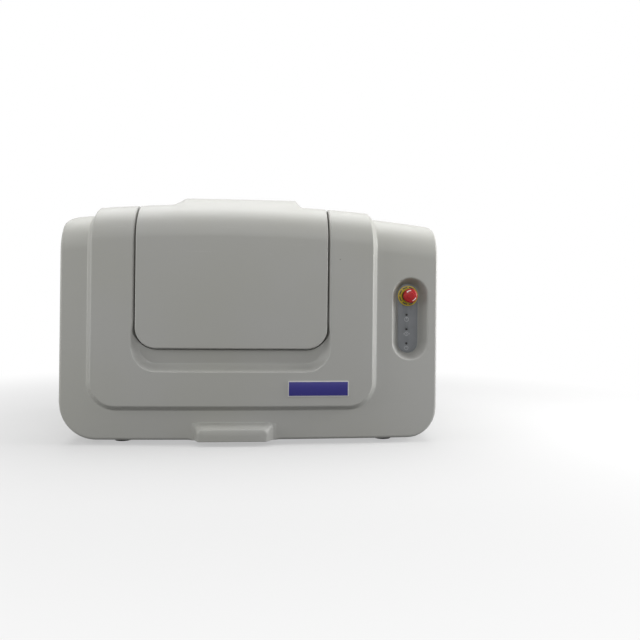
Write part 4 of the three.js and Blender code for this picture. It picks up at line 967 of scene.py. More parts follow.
flat, triangles = drawn_triangles(rim, [*vent_loops, *port_loops, inlet_loop], (),
                                  filler_grid(LEFT, RIGHT, FOOT, 0.66, 0.04, 0.04))
places = np.stack([flat[:, 0], np.full(len(flat), HOUSING_BACK), flat[:, 1]], axis=1)
turn_faces = [tuple(f) for f in triangles[:, ::-1]]
housing_wall.add(places, np.tile((0, 1.0, 0), (len(flat), 1)), turn_faces)
housing_shell = housing_wall.mesh("housing_moulding")
housing_piece = joined("rear_housing_shell", [housing_shell, *hinge_pads[2:]])
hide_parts("rear_housing")
print(len(housing_piece.data.polygons), "faces in the housing")

# %% [markdown]
# ## Finishes
# Every finish is worked out from the place on the piece, so it needs no pictures. A small class
# wraps one socket of a node tree: sums on it add Math nodes, and `new` adds any other node. The
# same class builds the Geometry Nodes trees further on.

# %% Node arithmetic
class Value:
    """One socket of a node tree, which can be added, multiplied and so on."""

    def __init__(self, tree, socket=None):
        self.tree, self.socket = tree, socket

    def new(self, kind, settings=None, inputs=None, output=0):
        """Any node. Its settings go first, then the values or links of its sockets."""
        node = self.tree.nodes.new(kind)
        for name, value in (settings or {}).items():
            setattr(node, name, value)
        for name, value in (inputs or {}).items():
            if isinstance(value, Value):
                self.tree.links.new(value.socket, node.inputs[name])
            else:
                node.inputs[name].default_value = value
        return Value(self.tree, node.outputs[output] if len(node.outputs) else None)

    def maths(self, operation, *values):
        return self.new("ShaderNodeMath", {"operation": operation}, dict(enumerate(values)))

    def __add__(self, other):
        return self.maths("ADD", self, other)

    def __mul__(self, other):
        return self.maths("MULTIPLY", self, other)

    def __sub__(self, other):
        return self.maths("SUBTRACT", self, other)

    def __rsub__(self, other):
        return self.maths("SUBTRACT", other, self)

    def __truediv__(self, other):
        return self.maths("DIVIDE", self, other)

    __radd__, __rmul__ = __add__, __mul__

    def __abs__(self):
        return self.maths("ABSOLUTE", self)

    def at_most(self, other):
        return self.maths("MINIMUM", self, other)

    def at_least(self, other):
        return self.maths("MAXIMUM", self, other)

    def step(self, start, end):
        """0 at `start`, 1 at `end`, smooth between them."""
        return self.new("ShaderNodeMapRange", {"interpolation_type": "SMOOTHSTEP"},
                        {"Value": self, "From Min": start, "From Max": end})

    def noise(self, scale, detail=2.0, rough=0.5):
        return self.new("ShaderNodeTexNoise", None,
                        {"Vector": self, "Scale": scale, "Detail": detail, "Roughness": rough})

    def scaled(self, x, y, z):
        return self.new("ShaderNodeMapping", None, {"Vector": self, "Scale": (x, y, z)})

    def parts(self):
        node = self.new("ShaderNodeSeparateXYZ", None, {0: self}).socket.node
        return [Value(self.tree, output) for output in node.outputs]

    def mix(self, below, above):
        """One colour where this is 0, another where it is 1."""
        below, above = [(*c, 1) if isinstance(c, tuple) else c for c in (below, above)]
        return self.new("ShaderNodeMix", {"data_type": "RGBA"}, {0: self, 6: below, 7: above}, 2)

    def times(self, value):
        """A vector scaled by a number."""
        return self.new("ShaderNodeVectorMath", {"operation": "SCALE"}, {0: self, "Scale": value})

    def joined(self, *parts):
        node = self.new("GeometryNodeJoinGeometry").socket.node
        for part in parts:
            self.tree.links.new(part.socket, node.inputs[0])
        return Value(self.tree, node.outputs[0])

    def bump(self, depth, strength=1.0):
        """Raised places `depth` metres high where this is 1."""
        return self.new("ShaderNodeBump", None, {"Height": self, "Distance": depth, "Strength": strength})


def finish(name, paint, **fixed):
    """A material. `paint` gives what changes over the surface, and `fixed` what doesn't."""
    material = bpy.data.materials.new(name)
    material.use_nodes = True
    material.node_tree.nodes.clear()
    place = Value(material.node_tree).new("ShaderNodeTexCoord", output="Object")
    sockets = {key.replace("_", " "): value for key, value in fixed.items()}
    sockets.update(paint(place))
    surface = place.new("ShaderNodeBsdfPrincipled", None, sockets)
    place.new("ShaderNodeOutputMaterial", None, {"Surface": surface})
    print(name, len(material.node_tree.nodes), "nodes")
    return material


# %% [markdown]
# The hood is a thick moulding in satin warm grey paint. Up close it has the fine orange peel of
# sprayed paint, a few faint pale level streaks that are painted reflections of a long lamp, a
# small dark spot, and a slight unevenness of colour.

# %% Painted moulding
REFLECTION_STREAKS = [(-0.134, 0.519, 0.056, 0.0), (0.125, 0.541, 0.016, 0.10), (-0.357, 0.582, 0.030, 0.02),
         (0.437, 0.545, 0.032, -0.08), (0.046, 0.516, 0.005, 0.0), (-0.060, 0.585, 0.028, -0.01)]
SPOT = (0.235, 0.504)


def reflection_streaks_and_spot(place):
    """Faint pale level streaks, painted reflections of a long lamp, and one dark spot."""
    x, y, z = place.parts()
    lamp_streaks = 0.0
    # Each streak is a painted reflection: a thin pale band at one level, broken up by noise.
    for across, up, half, lean in REFLECTION_STREAKS:
        along = 1 - abs(x - across) / half
        thick = 1 - abs(z - up - (x - across) * lean) / 0.0022
        lamp_streaks = along.at_least(0) * thick.at_least(0) + lamp_streaks
    spot = (1 - abs(x - SPOT[0]) / 0.0035 - abs(z - SPOT[1]) / 0.0035) * (1 - y.step(-0.2, -0.19))
    return (lamp_streaks * place.noise(260, 3).step(0.35, 0.7)).at_most(1), spot.at_least(0).at_most(1)


def moulding_paint(place):
    painted_reflections, spot = reflection_streaks_and_spot(place)
    cloud = place.noise(2.6, 3).step(0.3, 0.7)
    grey = cloud.mix((0.424, 0.424, 0.392), (0.436, 0.436, 0.418))
    grime = place.scaled(1, 1, 2.5).noise(40, 4, 0.65).step(0.62, 0.8) * 0.10
    # The pale streaks mixed in here are painted reflections of a lamp, not wear.
    colour = (painted_reflections * 0.30).mix(grime.mix(grey, (0.30, 0.295, 0.27)), (0.62, 0.62, 0.61))
    colour = (spot * 0.8).mix(colour, (0.16, 0.155, 0.15))
    peel = place.noise(420, 1) + place.noise(1500, 1) * 0.3
    return {"Base Color": colour, "Roughness": 0.36 + place.noise(14, 3) * 0.10 + painted_reflections * 0.12,
            "Normal": peel.bump(0.00006, 0.35)}


moulding = finish("warm_grey_moulding", moulding_paint, Specular_IOR_Level=0.5)

# %% [markdown]
# Metals differ mostly in how rough they are and in which direction. Zinc sheet shows pale and dark
# crystals, anodised aluminium has a fine even grain, and turned steel has rings.

# %% Metals
def zinc_paint(place):
    cells = place.new("ShaderNodeTexVoronoi", None, {"Vector": place, "Scale": 95.0}, output=1)
    grain = cells.noise(7, 1)
    return {"Base Color": grain.step(0.3, 0.7).mix((0.46, 0.47, 0.49), (0.60, 0.61, 0.63)),
            "Roughness": 0.34 + grain * 0.18, "Normal": place.noise(700, 2).bump(0.00003, 0.4)}


def aluminium_paint(place):
    drawn = place.scaled(14, 900, 900).noise(1, 3)
    cloud = place.noise(9, 3)
    return {"Base Color": cloud.step(0.3, 0.7).mix((0.56, 0.57, 0.59), (0.66, 0.67, 0.68)),
            "Roughness": 0.30 + drawn * 0.16, "Normal": drawn.bump(0.00002, 0.5)}


def steel_paint(place):
    turned = place.noise(1400, 2)
    return {"Base Color": place.noise(30, 3).mix((0.52, 0.52, 0.53), (0.64, 0.64, 0.65)),
            "Roughness": 0.16 + turned * 0.14, "Normal": turned.bump(0.00001, 0.5)}


zinc = finish("zinc_sheet", zinc_paint, Metallic=1.0)
aluminium = finish("anodised_aluminium", aluminium_paint, Metallic=1.0)
steel = finish("bright_steel", steel_paint, Metallic=1.0)

# %% [markdown]
# Plastics and rubber differ in the grain of their mould: fine and glossy on the red button,
# coarse and matt on the motors and feet.

# %% Plastics, rubber and silicone
def plain_paint(low, high, rough, grain=600, depth=0.00004, patches=18):
    """A mould-grained surface between two close colours."""
    def paint(place):
        grained = place.noise(grain, 2)
        return {"Base Color": place.noise(patches, 4, 0.6).step(0.3, 0.75).mix(low, high),
                "Roughness": rough + grained * 0.14, "Normal": grained.bump(depth, 0.6)}
    return paint


black_paint = finish("black_enamel", plain_paint((0.010, 0.010, 0.011), (0.024, 0.024, 0.026), 0.38))
black_plastic = finish("black_plastic", plain_paint((0.010, 0.010, 0.011), (0.020, 0.020, 0.021), 0.40))
rubber = finish("black_rubber", plain_paint((0.008, 0.008, 0.008), (0.021, 0.020, 0.019), 0.72, 350, 0.0001))
white_plastic = finish("white_plastic", plain_paint((0.72, 0.72, 0.70), (0.80, 0.80, 0.78), 0.34))
printed_white = finish("white_print", plain_paint((0.78, 0.78, 0.77), (0.86, 0.86, 0.85), 0.45))
red_plastic = finish("red_plastic", plain_paint((0.42, 0.006, 0.008), (0.48, 0.010, 0.012), 0.30, 900, 0.00002),
                     Coat_Roughness=0.15, Coat_Weight=0.10, Specular_IOR_Level=0.30)


def silicone_paint(place):
    x, y, _ = place.parts()
    cloth = (x * 2600).maths("SINE", x * 2600) * (y * 2600).maths("SINE", y * 2600)
    return {"Base Color": place.noise(24, 4).mix((0.40, 0.085, 0.022), (0.52, 0.13, 0.040)),
            "Roughness": 0.62 + cloth * 0.08, "Normal": cloth.bump(0.0001, 0.5)}


silicone = finish("orange_silicone", silicone_paint)

# %% [markdown]
# Three printed plates sit on the front: the yellow disc behind the stop button, with plain dark
# arcs round its edge and a painted shadow ring round its hole, the grey panel, with a small ring
# sign under each key, and a bare blue nameplate with a pale border. Their prints and that
# shadow are drawn as distances from simple shapes.

# %% Printed plates
STOP_X, STOP_Z, KEY_X = 0.436, 0.408, 0.433
KEY_ZS = (0.354, 0.313, 0.273)


def near(distance, half=0.0005, soft=0.0003):
    """1 where a distance is under `half`."""
    return 1 - distance.step(half - soft / 2, half + soft / 2)


def from_point(x, z, across, up):
    dx, dz = x - across, z - up
    return (dx * dx + dz * dz).maths("SQRT", dx * dx + dz * dz)


def yellow_paint(place):
    x, _, z = place.parts()
    dx, dz = x - STOP_X, z - STOP_Z
    turn = dz.maths("ARCTAN2", dz, dx)
    gaps = abs((turn * 4).maths("SINE", turn * 4)).step(0.34, 0.40)
    band = near(abs(from_point(x, z, STOP_X, STOP_Z) - 0.0238), 0.0016, 0.0004)
    # A dark ring painted round the hole is painted shadow of the collar on the plate.
    collar_shadow = 1 - from_point(x, z, STOP_X, STOP_Z).step(0.0168, 0.0172)
    print_and_shadow = (band * gaps).at_least(collar_shadow)
    grain = place.noise(700, 2)
    return {"Base Color": print_and_shadow.mix(place.noise(60, 3).mix((0.60, 0.43, 0.015), (0.68, 0.50, 0.025)),
                                         (0.018, 0.017, 0.012)),
            "Roughness": 0.34 + grain * 0.12, "Normal": grain.bump(0.00003, 0.4)}


def panel_paint(place):
    x, _, z = place.parts()
    sign = 0.0
    for number, key_z in enumerate(KEY_ZS):
        up = key_z - 0.0128
        ring = near(abs(from_point(x, z, KEY_X, up) - (0.0058, 0.0050, 0.0052)[number]), 0.0007)
        stroke = near(abs(x - KEY_X), 0.0006) * near(abs(z - up - (0.0034, 0, 0.0036)[number]), 0.0026)
        dots = near(abs(abs(x - KEY_X) - 0.0086), 0.0010) * near(abs(z - up), 0.0010)
        sign = ring + stroke + (dots if number == 1 else 0.0) + sign
    grain = place.noise(520, 2)
    base = place.noise(34, 4).step(0.3, 0.7).mix((0.190, 0.200, 0.213), (0.212, 0.222, 0.235))
    return {"Base Color": (sign.at_most(1) * 0.75).mix(base, (0.46, 0.48, 0.50)),
            "Roughness": 0.32 + grain * 0.12, "Normal": grain.bump(0.00003, 0.4)}


NAMEPLATE_X, NAMEPLATE_Z, NAMEPLATE_HALF = 0.179, 0.153, (0.083, 0.0215)


def blue_paint(place):
    x, _, z = place.parts()
    border = (abs(x - NAMEPLATE_X) - NAMEPLATE_HALF[0]).at_least(abs(z - NAMEPLATE_Z) - NAMEPLATE_HALF[1])
    pale = border.step(-0.0030, -0.0026)
    grain = place.noise(800, 2)
    return {"Base Color": pale.mix(place.noise(20, 3).mix((0.006, 0.003, 0.165), (0.010, 0.006, 0.205)),
                                   (0.60, 0.60, 0.59)),
            "Roughness": 0.30 + grain * 0.1, "Normal": grain.bump(0.00003, 0.3)}


yellow_plate = finish("yellow_plate", yellow_paint)
grey_panel = finish("grey_panel", panel_paint)
blue_plate = finish("blue_plate", blue_paint)

# %% [markdown]
# ## Cut plates, turned pieces and blocks
# Most small parts are made in one of three ways on a real machine, so three helpers make them
# here: a plate cut to an outline with holes, a piece turned on a lathe, and a milled block.

# %% A plate cut to an outline
SLOT_FINISH = {"moulding": moulding, "zinc_sheet": zinc, "aluminium": aluminium, "steel": steel,
               "motor_black": black_paint, "black_plastic": black_plastic, "black_rubber": rubber,
               "red_plastic": red_plastic, "yellow_plate": yellow_plate, "blue_plate": blue_plate,
               "grey_panel": grey_panel, "silicone": silicone, "white_plastic": white_plastic}


def settle(piece, slot, *nodes):
    """Give a piece its finish, let it stand for CAD nodes, and let it move with them."""
    if not piece.data.materials:
        piece.data.materials.append(SLOT_FINISH[slot])
    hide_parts(*nodes)
    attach(piece, frame["nodes"][nodes[0]]["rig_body"])
    return piece


def bevelled(piece, width, segments=2, degrees=30):
    """Round a piece's edges with a Bevel modifier, then make it plain."""
    bevel = piece.modifiers.new("edge", "BEVEL")
    bevel.width, bevel.segments, bevel.limit_method = width, segments, "ANGLE"
    bevel.angle_limit = math.radians(degrees)
    made = bpy.data.meshes.new_from_object(piece.evaluated_get(bpy.context.evaluated_depsgraph_get()))
    piece.modifiers.clear()
    piece.data = made
    return sharp_shaded(piece, 40)


def circle_loop(x, y, radius, count=40):
    return arc_points(x, y, radius, 0, 360 * (1 - 1 / count), count)


def round_rectangle(left, right, foot, top, corner, count=8):
    spots = ((right - corner, foot + corner, 270), (right - corner, top - corner, 0),
             (left + corner, top - corner, 90), (left + corner, foot + corner, 180))
    return np.concatenate([arc_points(x, y, corner, start, start + 90, count) for x, y, start in spots])


def cut_plate(name, axis, outline, holes, start, end, edge_width=0.0005):
    """A plate drawn in the two other axes, from `start` to `end` along `axis`."""
    flat, faces = drawn_triangles(np.asarray(outline, float), holes)
    count = len(flat)
    others = [a for a in range(3) if a != axis]
    places = np.zeros((2 * count, 3))
    places[:count, others] = places[count:, others] = flat
    places[:count, axis], places[count:, axis] = start, end
    faces = [tuple(f) for f in faces]
    directed = {(a, b) for f in faces for a, b in zip(f, f[1:] + f[:1])}
    rims = [(a, b, b + count, a + count) for a, b in directed if (b, a) not in directed]
    made = bpy.data.meshes.new(name)
    made.from_pydata(places.tolist(), [], [f[::-1] for f in faces] + [tuple(v + count for v in f) for f in faces] + rims)
    builder = bmesh.new()
    builder.from_mesh(made)
    bmesh.ops.recalc_face_normals(builder, faces=builder.faces)
    piece = kept(name, builder)
    return bevelled(piece, edge_width) if edge_width else sharp_shaded(piece)


def smoothed_copy(node, width=0.0006, segments=2):
    """A CAD node's own shape with its loose triangles merged and its edges eased."""
    builder = bmesh.new()
    builder.from_mesh(frame["nodes"][node].data)
    bmesh.ops.remove_doubles(builder, verts=builder.verts, dist=1e-5)
    bmesh.ops.dissolve_limit(builder, angle_limit=math.radians(1), verts=builder.verts, edges=builder.edges)
    return bevelled(kept(node + "_eased", builder), width, segments)


def middle_of(node):
    low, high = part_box(node)
    return (low + high) / 2


print("helpers ready")

# %% [markdown]
# ## Stop button and keys
# The stop button is a red mushroom with a raised disc and white arrows that say which way to
# twist it free. Behind it are a black collar, the yellow disc and the grey panel with three keys.

# %% Stop button
def lathe_y(name, x, z, start, profile, steps=64):
    """A piece turned about an axis that points forward. Distances grow towards the front."""
    return turned_about(name, 1, (x, start, z), [(r, -d) for r, d in profile], steps)


head_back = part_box("stop_head")[1].y
head = lathe_y("stop_mushroom", STOP_X, STOP_Z, head_back, [
    (0, 0), (0.0165, 0), (0.0188, 0.0008), (0.0198, 0.0024), (0.0200, 0.0042), (0.0199, 0.0062),
    (0.0194, 0.0082), (0.0184, 0.0099), (0.0168, 0.0114), (0.0148, 0.0125), (0.0126, 0.0130),
    (0.0107, 0.0131), (0.0102, 0.0133), (0.0100, 0.0138), (0.0097, 0.0148), (0.0091, 0.0152),
    (0.0070, 0.0154), (0, 0.0154)], 72)


def twist_arrow(turn, radius=0.0146, half=0.0011):
    """A curved arrow on the mushroom's shoulder, flat printed film a tenth of a millimetre thick."""
    angles = turn + np.linspace(0, 0.95, 14)
    rows = [(radius - half, radius + half)] * 10 + [(radius - 2.1 * half, radius + 2.1 * half)]
    rows += [(radius - 1.4 * half, radius + 1.4 * half), (radius - 0.7 * half, radius + 0.7 * half)]
    rows += [(radius - 0.05 * half, radius + 0.05 * half)]
    builder = bmesh.new()
    for lift in (0.0, 0.00012):
        for a, (inner, outer) in zip(angles, rows):
            for r in (inner, outer):
                height = 0.0125 - (r - 0.0148) * 0.42 + lift
                builder.verts.new((STOP_X + r * math.cos(a), head_back - height, STOP_Z + r * math.sin(a)))
    builder.verts.ensure_lookup_table()
    v, count = builder.verts, len(angles)
    for i in range(count - 1):
        a, b = 2 * i, 2 * count + 2 * i
        for corners in ((b, b + 1, b + 3, b + 2), (a, a + 2, a + 3, a + 1), (a, b, b + 2, a + 2),
                        (a + 1, a + 3, b + 3, b + 1)):
            builder.faces.new([v[k] for k in corners])
    builder.faces.new([v[0], v[1], v[2 * count + 1], v[2 * count]])
    builder.faces.new([v[2 * count - 2], v[4 * count - 2], v[4 * count - 1], v[2 * count - 1]])
    bmesh.ops.recalc_face_normals(builder, faces=builder.faces)
    return sharp_shaded(kept("arrow", builder))


head.data.materials.append(red_plastic)
arrows = [twist_arrow(math.radians(a)) for a in (88, 288)]
for arrow in arrows:
    arrow.data.materials.append(printed_white)
settle(joined("stop_head_red", [head, *arrows]), "red_plastic", "stop_head")

# %% Collar, plunger and legend plate
collar_front, plate_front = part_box("stop_collar")[0].y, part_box("stop_legend_plate")[0].y
collar_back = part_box("stop_collar")[1].y
depth = collar_back - collar_front
collar = lathe_y("stop_collar_black", STOP_X, STOP_Z, collar_back, [
    (0.0074, 0), (0.0108, 0), (0.0112, 0.0004), (0.0112, depth - 0.0172), (0.0140, depth - 0.0161),
    (0.0150, depth - 0.0150), (0.0150, depth - 0.0085), (0.0146, depth - 0.0080), (0.0146, depth - 0.0066),
    (0.0150, depth - 0.0061), (0.0150, depth - 0.0012), (0.0138, depth), (0.0080, depth), (0.0074, depth - 0.0006)])
settle(collar, "black_plastic", "stop_collar")
plunger_low, plunger_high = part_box("stop_plunger")
long = plunger_high.y - plunger_low.y
settle(lathe_y("stop_stem", STOP_X, STOP_Z, plunger_high.y, [
    (0, 0), (0.0060, 0), (0.0070, 0.001), (0.0070, long - 0.0006), (0.0064, long), (0, long)], 40),
    "steel", "stop_plunger")
legend = cut_plate("stop_legend", 1, circle_loop(STOP_X, STOP_Z, 0.0287, 72), [circle_loop(STOP_X, STOP_Z, 0.0113)],
                   plate_front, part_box("stop_legend_plate")[1].y, 0.0004)
settle(legend, "yellow_plate", "stop_legend_plate")
settle(smoothed_copy("stop_contact_block", 0.0012), "black_plastic", "stop_contact_block")

# %% Panel, keys and nameplate
panel_low, panel_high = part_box("control_panel")
half = (panel_high.x - panel_low.x) / 2
reach = (panel_high.z - panel_low.z) / 2 - half
panel_x, panel_z = middle_of("control_panel").x, middle_of("control_panel").z
outline = np.concatenate([arc_points(panel_x, panel_z + reach, half, 0, 180, 36),
                          arc_points(panel_x, panel_z - reach, half, 180, 360, 36)])
holes = [circle_loop(STOP_X, STOP_Z, 0.0113)] + [circle_loop(KEY_X, z, 0.0034, 24) for z in KEY_ZS]
settle(cut_plate("control_panel_grey", 1, outline, holes, panel_low.y, panel_high.y, 0.0006),
       "grey_panel", "control_panel")
for number in (1, 2, 3):
    low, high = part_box(f"key_{number}")
    z = (low.z + high.z) / 2
    long = high.y - low.y
    key = lathe_y(f"key_cap_{number}", KEY_X, z, high.y, [
        (0, 0), (0.0045, 0), (0.0045, 0.0012), (0.0043, 0.0016), (0.0030, 0.0018), (0.0030, long - 0.0005),
        (0.0026, long), (0, long - 0.0003)], 36)
    settle(key, "black_plastic", f"key_{number}")
low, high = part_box("nameplate")
plate = cut_plate("nameplate_blue", 1, round_rectangle(-0.0830, 0.0830, -0.0215, 0.0215, 0.003), [], 0, 0.0012, 0.0003)
plate.data.transform(Matrix.Translation((NAMEPLATE_X, OUTER["front"] - 0.016 + NAMEPLATE_X ** 2 / 13 - 0.0015, NAMEPLATE_Z))
                     @ Matrix.Rotation(math.atan(NAMEPLATE_X / BOW_RADIUS), 4, "Z"))
settle(plate, "blue_plate", "nameplate")

# %% [markdown]
# ## Repeated things
# Pulley teeth, belt teeth, tray ribs and screws repeat, so a Geometry Nodes tree makes each from a
# few named sizes. One helper builds every tree, and another turns the result into a plain mesh.

# %% Geometry Nodes helpers
def grown_tree(name, inputs, build, material):
    """A tree with named inputs. It ends in Realize Instances and Set Material."""
    tree = bpy.data.node_groups.new(name, "GeometryNodeTree")
    tree.interface.new_socket("Geometry", in_out="INPUT", socket_type="NodeSocketGeometry")
    for label, kind in inputs.items():
        tree.interface.new_socket(label, in_out="INPUT", socket_type="NodeSocket" + kind)
    tree.interface.new_socket("Geometry", in_out="OUTPUT", socket_type="NodeSocketGeometry")
    entry, leave = tree.nodes.new("NodeGroupInput"), tree.nodes.new("NodeGroupOutput")
    start = Value(tree, entry.outputs[0])
    given = {label: Value(tree, entry.outputs[label]) for label in inputs}
    real = start.new("GeometryNodeRealizeInstances", None, {"Geometry": build(start, given)})
    done = start.new("GeometryNodeSetMaterial", None, {"Geometry": real, "Material": material})
    tree.links.new(done.socket, leave.inputs[0])
    return tree


def grown(name, tree, values, seed_mesh=None):
    """Run a tree with its sizes and keep what it makes as a plain mesh."""
    piece = bpy.data.objects.new(name, seed_mesh or bpy.data.meshes.new(name))
    bpy.context.scene.collection.objects.link(piece)
    modifier = piece.modifiers.new(tree.name, "NODES")
    modifier.node_group = tree
    for item in tree.interface.items_tree:
        if item.in_out == "INPUT" and item.name in values:
            modifier[item.identifier] = values[item.name]
    made = bpy.data.meshes.new_from_object(piece.evaluated_get(bpy.context.evaluated_depsgraph_get()))
    piece.modifiers.clear()
    piece.data = made
    builder = bmesh.new()
    builder.from_mesh(made)
    bmesh.ops.remove_doubles(builder, verts=builder.verts, dist=2e-6)
    bmesh.ops.recalc_face_normals(builder, faces=builder.faces)
    builder.to_mesh(made)
    builder.free()
    print(name, len(made.polygons), "faces from the tree", tree.name)
    return sharp_shaded(piece, 35)


# %% A toothed wheel
def wheel_nodes(start, given):
    """A flat ring of points is pushed in and out by its place in each tooth, then thickened."""
    count = given["Teeth"] * 8
    disc = start.new("GeometryNodeMeshCircle", {"fill_type": "NGON"},
                     {"Vertices": count, "Radius": given["Root radius"]})
    index = start.new("GeometryNodeInputIndex", None, {})
    step = index.maths("MODULO", index, 8.0)
    high = step.maths("LESS_THAN", abs(step - 3.5), 2.1)
    place = start.new("GeometryNodeInputPosition", None, {})
    grow = 1 + high * given["Tooth height"] / given["Root radius"]
    pushed = start.new("GeometryNodeSetPosition", None, {"Geometry": disc, "Position": place.times(grow)})
    thick = start.new("GeometryNodeExtrudeMesh", {"mode": "FACES"},
                      {"Mesh": pushed, "Offset Scale": given["Width"], "Individual": False})
    under = start.new("GeometryNodeFlipFaces", None, {"Mesh": pushed})
    return start.joined(thick, under)


wheel_inputs = {"Teeth": "Int", "Root radius": "Float", "Tooth height": "Float", "Width": "Float"}
wheel_tree = grown_tree("toothed_wheel", wheel_inputs, wheel_nodes, aluminium)
steel_wheel_tree = grown_tree("toothed_wheel_steel", wheel_inputs, wheel_nodes, steel)
TOOTH_PITCH, TOOTH_DEPTH, WHEEL_WIDTH, FLANGE = 0.010, 0.0022, 0.014, 0.0015
AXIS_TURN = {0: Matrix.Rotation(math.pi / 2, 4, "Y"), 1: Matrix.Rotation(-math.pi / 2, 4, "X")}


def on_axis(piece, axis, place):
    """Turn a piece made along Z to lie along X or Y, and put it in its place."""
    piece.data.transform(Matrix.Translation(place) @ AXIS_TURN[axis])
    return piece


def toothed_pulley(name, node, axis, centre, teeth, start, metal, bore, spokes=0):
    """A wheel with teeth between two flanges."""
    radius = teeth * TOOTH_PITCH / (2 * math.pi)
    tree = wheel_tree if metal is aluminium else steel_wheel_tree
    place = np.array(centre, float)
    place[axis] = start
    wheel = grown(name + "_teeth", tree, {"Teeth": teeth, "Root radius": radius - TOOTH_DEPTH,
                                          "Tooth height": TOOTH_DEPTH, "Width": WHEEL_WIDTH})
    on_axis(wheel, axis, place)
    rim, middle = radius + 0.0052, np.array(centre, float)
    middle[axis] = 0
    end = start + WHEEL_WIDTH
    flanges = []
    for low, high in ((start - FLANGE, start + 0.0002), (end - 0.0002, end + FLANGE)):
        dish = 0.0007 if rim > 0.03 else 0.0
        inner_rim = rim * 0.62
        out = low if low < start else high
        into = out + (dish if low < start else -dish)
        profile = [(bore, low if low > start else into), (inner_rim * 0.5, into if low < start else low)]
        if low < start:
            profile = [(bore, out), (inner_rim * 0.45, out), (inner_rim * 0.49, into), (inner_rim, into),
                       (inner_rim * 1.03, out), (rim - 0.0004, out), (rim, out + 0.0004), (rim, high), (bore, high)]
        else:
            profile = [(bore, low), (rim, low), (rim, out - 0.0004), (rim - 0.0004, out), (inner_rim * 1.03, out),
                       (inner_rim, into), (inner_rim * 0.49, into), (inner_rim * 0.45, out), (bore, out)]
        flange = turned_about(name + "_flange", axis, tuple(middle), profile, 72)
        flange.data.materials.append(metal)
        flanges.append(flange)
    return [wheel, *flanges]


PIVOT_Y, PIVOT_Z = -0.045, 0.280
PITCH_WHEEL, ROLL_WHEEL = 0.298, 0.1873
PITCH_MOTOR, ROLL_MOTOR = 0.100, 0.168
pieces = toothed_pulley("pitch_wheel", "pitch_pulley", 0, (0, PIVOT_Y, PIVOT_Z), 27, PITCH_WHEEL, aluminium, 0.0102)
settle(joined("pitch_wheel_27", pieces), "aluminium", "pitch_pulley")
pieces = toothed_pulley("roll_wheel", "roll_pulley", 1, (DOOR_X, 0, PIVOT_Z), 27, ROLL_WHEEL, aluminium, 0.0102)
settle(joined("roll_wheel_27", pieces), "aluminium", "roll_pulley")
for kind, axis, centre, start, face in (("pitch", 0, (0, PIVOT_Y, PITCH_MOTOR), PITCH_WHEEL, 0.262),
                                        ("roll", 1, (DOOR_X, 0, ROLL_MOTOR), ROLL_WHEEL, 0.1573)):
    pieces = toothed_pulley(kind + "_pinion", None, axis, centre, 9, start, steel, 0.0030)
    tip = start + WHEEL_WIDTH + 0.002
    shaft = turned_about(kind + "_shaft", axis, centre, [(0, face), (0.0036, face), (0.004, face + 0.0004),
                                                         (0.004, tip - 0.0005), (0.0035, tip), (0, tip)], 32)
    shaft.data.materials.append(steel)
    settle(joined(kind + "_pinion_9", pieces + [shaft]), "steel", kind + "_motor_pulley")

# %% A toothed belt
def belt_nodes(start, given):
    """A flat band carried along the loop, with a tooth at every pitch on its inside."""
    loop = start.new("GeometryNodeMeshToCurve", None, {"Mesh": start})
    band = start.new("GeometryNodeCurvePrimitiveQuadrilateral", {"mode": "RECTANGLE"},
                     {"Width": given["Thickness"], "Height": given["Width"]})
    swept = start.new("GeometryNodeCurveToMesh", None, {"Curve": loop, "Profile Curve": band})
    spread = start.new("GeometryNodeCurveToPoints", {"mode": "COUNT"}, {"Curve": loop, "Count": given["Teeth"]})
    turn = start.new("GeometryNodeCurveToPoints", {"mode": "COUNT"}, {"Curve": loop, "Count": given["Teeth"]}, output=3)
    tooth = start.new("GeometryNodeMeshCube", None, {"Size": given["Tooth"]})
    lowered = start.new("GeometryNodeTransform", None, {"Geometry": tooth, "Translation": given["Tooth offset"]})
    placed = start.new("GeometryNodeInstanceOnPoints", None, {"Points": spread, "Instance": lowered, "Rotation": turn})
    return start.joined(swept, placed)


belt_tree = grown_tree("toothed_belt", {"Teeth": "Int", "Width": "Float", "Thickness": "Float", "Tooth": "Vector",
                                        "Tooth offset": "Vector"}, belt_nodes, rubber)


def belt_line(big, small, apart, grow, count=60):
    """The loop round two wheels, as seen along their axis, with the large wheel at the origin."""
    lean = math.asin((big - small) / apart)
    top = arc_points(0, 0, big + grow, math.degrees(-lean), math.degrees(math.pi + lean), count)
    foot = arc_points(0, -apart, small + grow, math.degrees(math.pi + lean), math.degrees(2 * math.pi - lean), count // 2)
    gaps = [np.linspace(top[-1], foot[0], 20)[1:-1], np.linspace(foot[-1], top[0], 20)[1:-1]]
    return np.concatenate([top, gaps[0], foot, gaps[1]])


def belt_piece(name, axis, centre, apart, start):
    radii = [teeth * TOOTH_PITCH / (2 * math.pi) + 0.0005 for teeth in (27, 9)]
    band = belt_line(*radii, apart, 0.0016)
    length = np.linalg.norm(np.diff(band, axis=0, append=band[:1]), axis=1).sum()
    loop = bpy.data.meshes.new(name)
    count = len(band)
    loop.from_pydata([(x, y, 0) for x, y in band], [(i, (i + 1) % count) for i in range(count)], [])
    belt = grown(name, belt_tree, {"Teeth": round(length / TOOTH_PITCH), "Width": 0.012, "Thickness": 0.0012,
                                   "Tooth": (0.0012, 0.0116, 0.0040), "Tooth offset": (-0.0010, 0, 0)}, loop)
    upright = Matrix(((0, 0, 1, 0), (1, 0, 0, 0), (0, 1, 0, 0), (0, 0, 0, 1))) if axis == 0 else \
        Matrix(((1, 0, 0, 0), (0, 0, 1, 0), (0, 1, 0, 0), (0, 0, 0, 1)))
    place = np.array(centre, float)
    place[axis] = start + 0.006
    belt.data.transform(Matrix.Translation(place) @ upright)
    if axis == 1:
        belt.data.flip_normals()
    return belt


